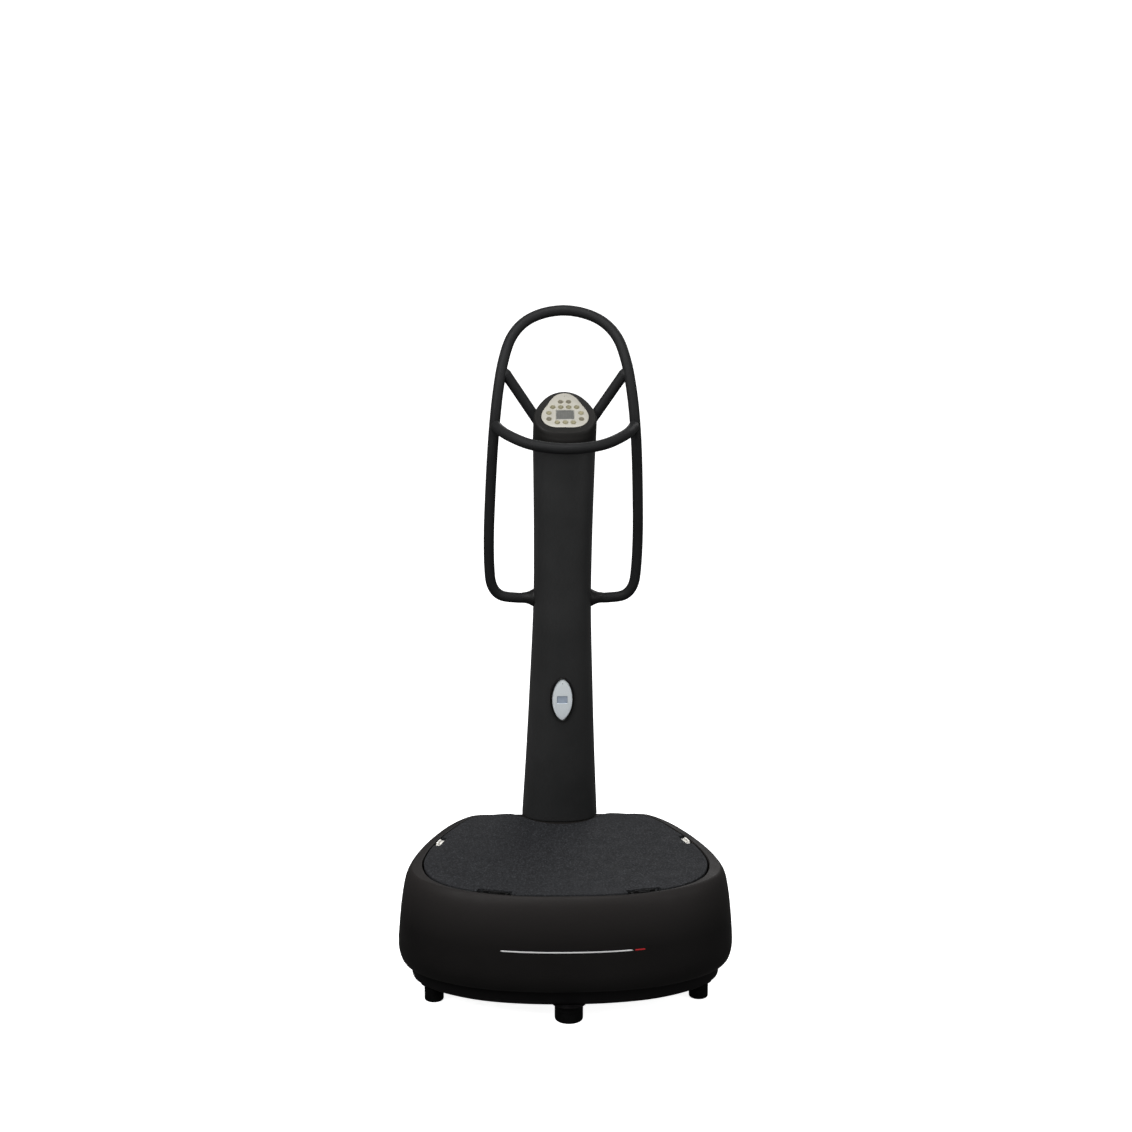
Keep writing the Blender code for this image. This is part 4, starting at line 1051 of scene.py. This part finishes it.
def strap_anchors():
    """In each notch a low foot plate with two screws and a slotted lip."""
    seat = PLATE_TOP_Z + 0.0003
    for name, spot, turn, width in ANCHORS:
        along, inward = anchor_directions(turn)
        rear = "rear" in name
        # Painted shade: the front anchors are the same bright fittings as the rear ones, but near-black, for
        # the shadow that the cover's rim casts into the front notches.
        look, slot = ("bright_fitting", "bright_steel") if rear else ("plate", "cover")
        middle = Vector((*spot, seat)) + inward * 0.0075
        shape = rounded_rectangle(width * 0.4, 0.006, 0.0022)
        foot_plate = slab(shape, middle, along, inward, ANCHOR_PLATE_LEVELS)
        lip_middle = Vector((*spot, seat + 0.004)) + inward * 0.002
        dress(anchor_lip(name, lip_middle, along, width), look, "platform")
        add(f"{name}_plate", foot_plate, look, "platform", [name])
        heads = []
        for side in (-1, 1):
            head_seat = middle + along * (side * width * 0.3) + Vector((0, 0, 0.003))
            heads.append(screw_head(head_seat, UP, 0.0026))
        # The front anchors' screws are near-black as painted shade; the rear ones are bright steel.
        add(f"{name}_screws", joined(*heads), "steel" if rear else "plate", "platform")


def isolators():
    """Ribbed rubber springs between the frame's posts and the plate."""
    for name in ("isolator_front_left", "isolator_front_right", "isolator_rear_left", "isolator_rear_right"):
        low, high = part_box(name)
        centre = Vector(((low.x + high.x) / 2, (low.y + high.y) / 2, low.z))
        height = high.z - low.z
        profile = [(0.0, 0.0228), (0.0012, 0.024), (0.004, 0.024)]
        for k in range(25):
            a = 2 * pi * k / 24
            profile.append((0.006 + (height - 0.012) * k / 24, 0.0212 - 0.0009 * cos(3 * a)))
        profile += [(height - 0.004, 0.024), (height - 0.0012, 0.024), (height, 0.0228)]
        spring = new_object(f"{name}_spring", turned(profile, centre, UP, 48))
        spring.data.materials.append(LOOKS["rubber"])
        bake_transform(spring)
        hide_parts(name)


# ------------ column


def column_point(angle, section, thinner):
    """A point of the column's rounded section in a direction, moved inwards by a distance."""
    z, half_width, front, rear = section
    power = 2 / COLUMN_SQUARENESS
    across = abs(cos(angle)) ** power * (half_width - thinner) * (1 if cos(angle) >= 0 else -1)
    depth = rear if sin(angle) >= 0 else -front
    along = abs(sin(angle)) ** power * (abs(depth) - thinner) * (1 if depth >= 0 else -1)
    return Vector((across, column_axis_y(z) + along, z))


def column_sections():
    """The column's sections, closer together than the given ones."""
    pairs = curve([(z, w, f) for z, w, f, _ in COLUMN_SECTIONS], 24)
    rears = curve([(z, w, r) for z, w, _, r in COLUMN_SECTIONS], 24)
    return [(a.x, a.y, a.z, b.z) for a, b in zip(pairs, rears)]


def column_shell(name, first, last):
    """Half of the casing between two directions in degrees seen from above, with eased seam edges."""
    steps = 64
    seam = COLUMN_SEAM_DEGREES
    sections = column_sections()
    rings = []
    for k in range(steps + 1):
        share = 0.5 - 0.5 * cos(pi * k / steps)
        degrees = first + seam + (last - first - 2 * seam) * share
        from_seam = min(degrees - first, last - degrees)
        ease = 0.0011 * max(1 - (from_seam - seam) / 0.6, 0.0)
        outer = [column_point(radians(degrees), section, ease) for section in sections]
        inner = [column_point(radians(degrees), section, WALL) for section in sections[::-1]]
        for foot_point in (outer[0], inner[-1]):
            foot_point.z += COLUMN_FOOT_GAP - deck_drop(foot_point.y)
        rings.append(outer + inner)
    shell = new_object(name, lofted(rings), 30)
    bore = TUBE_RADIUS + CASING_GAP
    carve(shell, turned(((0.0, bore), (0.4, bore)), (-0.2, ARM_Y, ARM_Z), RIGHT, 64))
    return shell


def column():
    """The casing's front half with the display's seat cut into it, and its rear half with six sunk screws."""
    front = column_shell("column_front", 180, 360)
    carve(front, almond_body(((-0.03, 0.0004), (0.03, 0.0004))))
    dress(front, "column", stands_for=["column_front_shell"])
    rear = column_shell("column_rear", 0, 180)
    wells = []
    heads = []
    for z in COLUMN_SCREW_HEIGHTS:
        section = min(column_sections(), key=lambda s: abs(s[0] - z))
        for angle in COLUMN_SCREW_DEGREES:
            spot = column_point(radians(angle), section, 0.0)
            out = Vector((cos(radians(angle)) * 0.75, 1.0, COLUMN_LEAN)).normalized()
            wells.append(turned(((-SCREW_WELL_DEPTH, 0.0052), (0.01, 0.0062)), spot, out, 32))
            heads.append(screw_head(spot - out * SCREW_WELL_DEPTH, out, 0.0038))
    carve(rear, joined(*wells))
    dress(rear, "column", stands_for=["column_rear_shell"])
    add("column_screws", joined(*heads), "steel")


# ------------ small display on the column


def almond(margin, sides=120):
    """The display's outline, widened by a margin: an almond that is sharper at its lower end."""
    half_width, half_height = BADGE_HALF[0] + margin, BADGE_HALF[1] + margin
    outline = []
    for k in range(sides):
        a = 2 * pi * k / sides
        sharper = 1.32 if sin(a) < 0 else 1.12
        width = abs(cos(a)) ** sharper * (1 if cos(a) >= 0 else -1)
        outline.append((half_width * width, half_height * sin(a)))
    return outline


def badge_point(x, up, out):
    return BADGE_CENTRE + Vector((x, 0.0, 0.0)) + BADGE_UP * up + BADGE_OUT * out


def almond_body(levels, tube=False):
    """Rings of the almond outline; each level is a height and how far the outline is widened."""
    return lofted([[badge_point(x, up, out) for x, up in almond(margin)] for out, margin in levels], tube)


def column_display():
    """A glossy rim round a silvered panel, with a small screen in a window and a lamp above it."""
    rim = almond_body(BADGE_RIM, tube=True)
    add("badge_rim", rim, "rim", stands_for=["column_display_bezel"])
    panel = new_object("badge_film", almond_body(BADGE_FACE), 20)
    window = rounded_rectangle(0.0125, 0.0095, 0.0012, 4)
    cut = slab(window, BADGE_CENTRE, RIGHT, BADGE_UP, ((-0.03, 0.0), (0.0012, 0.0), (0.003, -0.0006)))
    carve(panel, cut)
    dress(panel, "silver", stands_for=["column_display_panel"])
    glass = rounded_rectangle(0.0122, 0.0092, 0.0011, 4)
    levels = ((-0.008, 0.0), (0.0001, 0.0), (0.0003, 0.0001))
    sheet = slab(glass, BADGE_CENTRE, RIGHT, BADGE_UP, levels)
    add("badge_screen", sheet, "small_screen", stands_for=["column_display_lcd"])
    lens = ((0.0, 0.0012), (0.0009, 0.0012), (0.0013, 0.0007))
    lamp = turned(lens, badge_point(0.0, 0.041, 0.0008), BADGE_OUT, 24)
    add("badge_lamp", lamp, "grey_ink")


# ------------ console


def face_point(across, up, out):
    return FACE_CENTRE + Vector((across, 0.0, 0.0)) + FACE_UP * up + FACE_OUT * out


def three_cornered(radius, corners, stretch, drop, out, sides=144):
    """A ring on the console's face, or above it: a rounded triangle that points up."""
    ring = []
    for i in range(sides):
        angle = 2 * pi * i / sides
        reach = radius * (1 + corners * cos(3 * (angle - pi / 2)))
        ring.append(face_point(reach * cos(angle) * stretch[0], reach * sin(angle) * stretch[1] - drop, out))
    return ring


def panel_ring(radius, out):
    return three_cornered(radius, PANEL_CORNERS, PANEL_STRETCH, 0.0, out)


def lip_ring(scale, out):
    return three_cornered(HOUSING_RADIUS * scale, HOUSING_CORNERS, (1.0, 1.0), HOUSING_DROP, out)


def smooth_rings(rings, steps):
    """Rings on smooth curves through the given ones."""
    tracks = [curve(track, steps) for track in zip(*rings)]
    return [list(ring) for ring in zip(*tracks)]


def pushed_forward(ring, turns, distance):
    """A ring whose front stands further out and whose rear stays where it was."""
    return [point - Vector((0.0, distance * max(0.0, -sin(a)), 0.0)) for point, a in zip(ring, turns)]


def forward_flank(base, shoulder, turns, share, front_share):
    """A ring between two others: its front stays out, near the upper ring, and its rear runs straight."""
    ring = []
    for low, high, angle in zip(base, shoulder, turns):
        out = share + (front_share - share) * max(0.0, -sin(angle))
        ring.append(Vector((*low.xy.lerp(high.xy, out), low.z + (high.z - low.z) * share)))
    return ring


def column_top_ring(turns, thinner):
    """The column's uppermost section, just above its casing."""
    top = COLUMN_SECTIONS[-1]
    height = COLUMN_TOP_Z + 0.0003
    return [Vector((*column_point(a, top, thinner).xy, height)) for a in turns]


def hood_crest():
    """The lip's inner edge, where it turns down towards the face."""
    return lip_ring(0.968, -0.0002)


def hood_outside(turns):
    """From the column's top up to the inner edge of the rounded lip."""
    base = column_top_ring(turns, -0.001)
    shoulder = pushed_forward(lip_ring(1.02, -0.011), turns, 0.0048)
    flanks = [forward_flank(base, shoulder, turns, *shares) for shares in HOOD_FLANK]
    brow = pushed_forward(lip_ring(1.018, -0.0062), turns, 0.0018)
    return smooth_rings([base, *flanks, shoulder, brow, lip_ring(0.995, -0.0018), hood_crest()], 6)


def hood_bead():
    """The dip inside the lip, the bead round the panel and the ledge that the panel lies on."""
    outer = PANEL_RADIUS + PANEL_SLACK + BEAD[0][0]
    rings = [between(hood_crest(), panel_ring(outer, BEAD[0][1]), share) for share in (0.3, 0.6, 0.85)]
    rings += [panel_ring(PANEL_RADIUS + PANEL_SLACK + wider, out) for wider, out in BEAD]
    rings += [panel_ring(PANEL_RADIUS - LEDGE_WIDTH, out) for out in LEDGE_DEPTHS]
    return rings


def console_housing():
    """Hood on top of the column: it swells into a wide rounded lip, then dips to a bead round the face."""
    turns = [2 * pi * k / 144 for k in range(144)]
    hollow = lip_ring(0.93, -0.014)
    foot = column_top_ring(turns, WALL)
    rings = [*hood_outside(turns), *hood_bead(), hollow, between(foot, hollow, 0.4), foot]
    hood = new_object("console_hood", lofted(rings, tube=True), 40)
    for side in (-1, 1):
        path = [Vector((side * x, y, z)) for x, y, z in BRACE_LINE]
        carve(hood, swept(path, BRACE_RADIUS + CASING_GAP, 40))
    dress(hood, "hood", stands_for=["console_housing"])


def button_places():
    """Each button's name and row, with its place across and up the face."""
    places = []
    for row, up, acrosses in BUTTON_ROWS:
        places += [(f"button_{row}_{i + 1}", row, x, up) for i, x in enumerate(acrosses)]
    return places


def console_panel():
    """A thin light panel with a hole for each button and a framed window for the screen."""
    levels = ((-0.0027, 0.0), (PANEL_TOP - 0.0006, 0.0), (PANEL_TOP - 0.0002, 0.0002), (PANEL_TOP, 0.0007))
    panel = new_object("panel_film_sheet", lofted([panel_ring(PANEL_RADIUS - d, h) for h, d in levels]))
    holes = []
    for _, _, x, up in button_places():
        profile = ((0.0, BUTTON_HOLE_RADIUS), (0.03, BUTTON_HOLE_RADIUS))
        holes.append(turned(profile, face_point(x, up, -0.015), FACE_OUT, 40))
    window = rounded_rectangle(*LCD_HALF, 0.0016, 5)
    centre = face_point(0.0, LCD_CENTRE_UP, 0.0)
    holes.append(slab(window, centre, RIGHT, FACE_UP, ((-0.015, 0.0), (0.015, 0.0))))
    carve(panel, joined(*holes))
    dress(panel, "panel", stands_for=["console_panel"])
    console_screen(window, centre)
    lens = ((0.0, 0.0013), (0.0006, 0.0013), (0.0009, 0.0007))
    lamp = turned(lens, face_point(0.0, 0.0525, PANEL_TOP - 0.0003), FACE_OUT, 24)
    add("panel_lamp", lamp, "lamp")


def console_screen(window, centre):
    """The screen's glass, sunk in a narrow frame along the window's edge."""
    rings = []
    for out, reach in SCREEN_FRAME:
        flat = inset([Vector((x, y, 0.0)) for x, y in window], reach)
        rings.append([centre + Vector((p.x, 0, 0)) + FACE_UP * p.y + FACE_OUT * out for p in flat])
    add("screen_frame", lofted(rings, tube=True), "screen_rim")
    glass = rounded_rectangle(LCD_HALF[0] - 0.0018, LCD_HALF[1] - 0.0018, 0.0008, 4)
    sheet = slab(glass, centre, RIGHT, FACE_UP, ((-0.0085, 0.0), (-0.0017, 0.0), (-0.0015, 0.0002)))
    add("console_screen", sheet, "screen", stands_for=["console_lcd"])


def push_buttons():
    """Dished silicone keys, each in a raised surround on the panel."""
    surrounds = []
    profile = [(height, BUTTON_RADIUS - narrower) for height, narrower in KEY_PROFILE]
    for name, row, x, up in button_places():
        body = turned(profile, face_point(x, up, -0.0075), FACE_OUT, 40)
        add(f"{name}_cap", body, KEY_LOOKS[row], name, [name], sharp=50)
        surrounds.append(turned(KEY_SURROUND, face_point(x, up, -0.00025), FACE_OUT, 48, tube=True))
    add("key_surrounds", joined(*surrounds), "key_ring")


# ------------ handle


def flare_near(path, radius, height, reach):
    """How far a weld's smooth fillet stands out at a point, by its distance from the tube that it meets."""
    tree = KDTree(len(path))
    for i, point in enumerate(path):
        tree.insert(point, i)
    tree.balance()

    def swell(centre, surface):
        inside = min(max((radius - tree.find(centre)[2]) / radius, 0.0), 1.0)
        gap = max(tree.find(surface)[2] - radius, 0.0)
        return height * exp(-gap / reach) * (1 - inside) - WELD_SINK * inside

    return swell


def collar(side, word):
    """A dark sleeve that flares out where the loop's arm enters the column."""
    profile = [(p.x, p.y) for p in curve([(d, r, 0) for d, r in COLLAR_PROFILE], 6)]
    start, end = COLLAR_PROFILE[0][0], COLLAR_PROFILE[-1][0]
    profile += [(end + 0.0001, TUBE_RADIUS + 0.0001), (end - 0.002, TUBE_RADIUS - 0.002)]
    profile.append((start, COLLAR_BORE))
    body = turned(profile, (side * COLLAR_START_X, ARM_Y, ARM_Z), (side, 0, 0), 64, tube=True)
    add(f"collar_{word}", body, "dark_fitting", stands_for=[f"handle_collar_{word}"])


def handle():
    """The bent loop, with the front bar and the two braces welded to it."""
    loop = curve(whole_path(LOOP_HALF), 10)
    add("loop_tube", swept(loop, TUBE_RADIUS, 40), "tube", stands_for=["handle_loop"])
    welded_to = curve(whole_path(LOOP_HALF), 60)
    bar_swell, swell = (flare_near(welded_to, TUBE_RADIUS, height, WELD_REACH) for height in WELD_HEIGHTS)
    bar = swept(curve(whole_path(FRONT_BAR_HALF), 40), TUBE_RADIUS, 40, bar_swell)
    add("front_bar_tube", bar, "tube", stands_for=["handle_front_bar"])
    for word, side in (("left", -1), ("right", 1)):
        start, end = (Vector((side * x, y, z)) for x, y, z in BRACE_LINE)
        line = [start.lerp(end, k / 90) for k in range(91)]
        brace = swept(line, BRACE_RADIUS, 40, swell)
        add(f"brace_tube_{word}", brace, "tube", stands_for=[f"handle_brace_{word}"])
        collar(side, word)


# ------------ plain trim across the front


def trim_strip(name, surface, start_x, end_x, look):
    """A slim raised strip that narrows at both ends, laid on the front of the cover."""
    steps = 60
    rings = []
    for k in range(steps + 1):
        x = start_x + (end_x - start_x) * k / steps
        from_end = min(max(min(x - start_x, end_x - x) / TRIM_HALF_HEIGHT, 0.0), 1.0)
        half = TRIM_HALF_HEIGHT * (1 - (1 - from_end) ** 2) ** 0.5 + 0.0001
        ring = []
        for share, stand in TRIM_SECTION:
            z = TRIM_Z + share * half
            spot = surface.ray_cast((x, -1.0, z), (0, 1, 0))[0]
            ring.append(Vector((x, spot.y - stand, z)))
        rings.append(ring)
    add(name, lofted(rings), look)


def trim_lines(cover):
    """A slim pale line with a short red tip across the front of the base."""
    mesh = cover.data
    surface = BVHTree.FromPolygons([v.co for v in mesh.vertices], [p.vertices[:] for p in mesh.polygons])
    trim_strip("trim_line_pale", surface, -0.15, 0.136, "white_ink")
    trim_strip("trim_line_red", surface, 0.14, 0.162, "red_ink")


# ------------ inner parts that the CAD already shapes


def finish_inner_nodes():
    looks = {
        "base_frame": "frame", "column_mast": "frame", "controller_box": "enamel", "console_board": "board",
        "console_cable": "rubber", "motor_left": "enamel", "motor_right": "enamel", "rotor_left": "steel",
        "rotor_right": "steel",
    }
    for name, look in looks.items():
        NODES[name].data.materials.clear()
        NODES[name].data.materials.append(LOOKS[look])


# ------------ floor, light, camera


def floor():
    """A white sweep: floor and backdrop in one curved sheet."""
    body = bmesh.new()
    profile = [(SWEEP_FRONT_Y, FLOOR_Z), (SWEEP_BEND_Y, FLOOR_Z)]
    for k in range(1, 13):
        a = pi / 2 * k / 12
        profile.append((SWEEP_BEND_Y + SWEEP_BEND * sin(a), FLOOR_Z + SWEEP_BEND - SWEEP_BEND * cos(a)))
    profile.append((SWEEP_BEND_Y + SWEEP_BEND, SWEEP_TOP_Z))
    left = [body.verts.new((-SWEEP_HALF_WIDTH, y, z)) for y, z in profile]
    right = [body.verts.new((SWEEP_HALF_WIDTH, y, z)) for y, z in profile]
    for i in range(len(profile) - 1):
        body.faces.new((left[i], right[i], right[i + 1], left[i + 1]))
    sweep = new_object("studio_sweep", body)
    finish = Finish("studio_paper", 0.9, Specular_IOR_Level=0.1)
    paper = finish.blend_colours((0.9, 0.9, 0.9), (0.93, 0.93, 0.93), finish.clouds(0.6, 2.0))
    finish.colour(paper)
    finish.link(paper, finish.shader.inputs["Emission Color"])
    finish.shader.inputs["Emission Strength"].default_value = 1.0
    sweep.data.materials.append(finish.material)
    sweep.visible_diffuse = False
    sweep.visible_glossy = False
    sweep.visible_shadow = False


def area_light(name, spot, aim, size, power):
    data = bpy.data.lights.new(name, "AREA")
    data.shape = "RECTANGLE"
    data.size, data.size_y = size
    data.energy = power
    lamp = bpy.data.objects.new(name, data)
    lamp.location = spot
    lamp.rotation_euler = (Vector(aim) - Vector(spot)).to_track_quat("-Z", "Y").to_euler()
    bpy.context.scene.collection.objects.link(lamp)


def studio():
    floor()
    for light in STUDIO_LIGHTS:
        area_light(*light)
    world = bpy.data.worlds.new("studio_air")
    world.use_nodes = True
    background = world.node_tree.nodes["Background"]
    background.inputs["Color"].default_value = (1.0, 1.0, 1.0, 1.0)
    background.inputs["Strength"].default_value = WORLD_STRENGTH
    bpy.context.scene.world = world
    bpy.context.scene.view_settings.view_transform = "Standard"


def camera():
    """Looks down at the machine from the front, a little above its top."""
    pitch, turn, roll = CAMERA_PITCH, CAMERA_TURN, CAMERA_ROLL
    forward = Vector((-sin(turn) * cos(pitch), cos(turn) * cos(pitch), -sin(pitch)))
    right = Vector((cos(turn), sin(turn), 0.0))
    up = right.cross(forward)
    level_right = right * cos(roll) + up * sin(roll)
    level_up = up * cos(roll) - right * sin(roll)
    data = bpy.data.cameras.new("camera")
    data.sensor_width = 36.0
    data.lens = CAMERA_LENS
    data.shift_x, data.shift_y = CAMERA_SHIFT
    made = bpy.data.objects.new("camera", data)
    facing = Matrix((level_right, level_up, -forward)).transposed().to_4x4()
    place = (sin(turn) * CAMERA_DISTANCE, -cos(turn) * CAMERA_DISTANCE, CAMERA_HEIGHT)
    made.matrix_world = Matrix.Translation(place) @ facing
    bpy.context.scene.collection.objects.link(made)
    bpy.context.scene.camera = made


def build():
    base_cover()
    underpan()
    feet()
    transport_wheels()
    power_inlet()
    platform()
    strap_anchors()
    isolators()
    column()
    column_display()
    console_housing()
    console_panel()
    push_buttons()
    handle()
    finish_inner_nodes()
    studio()
    camera()


build()
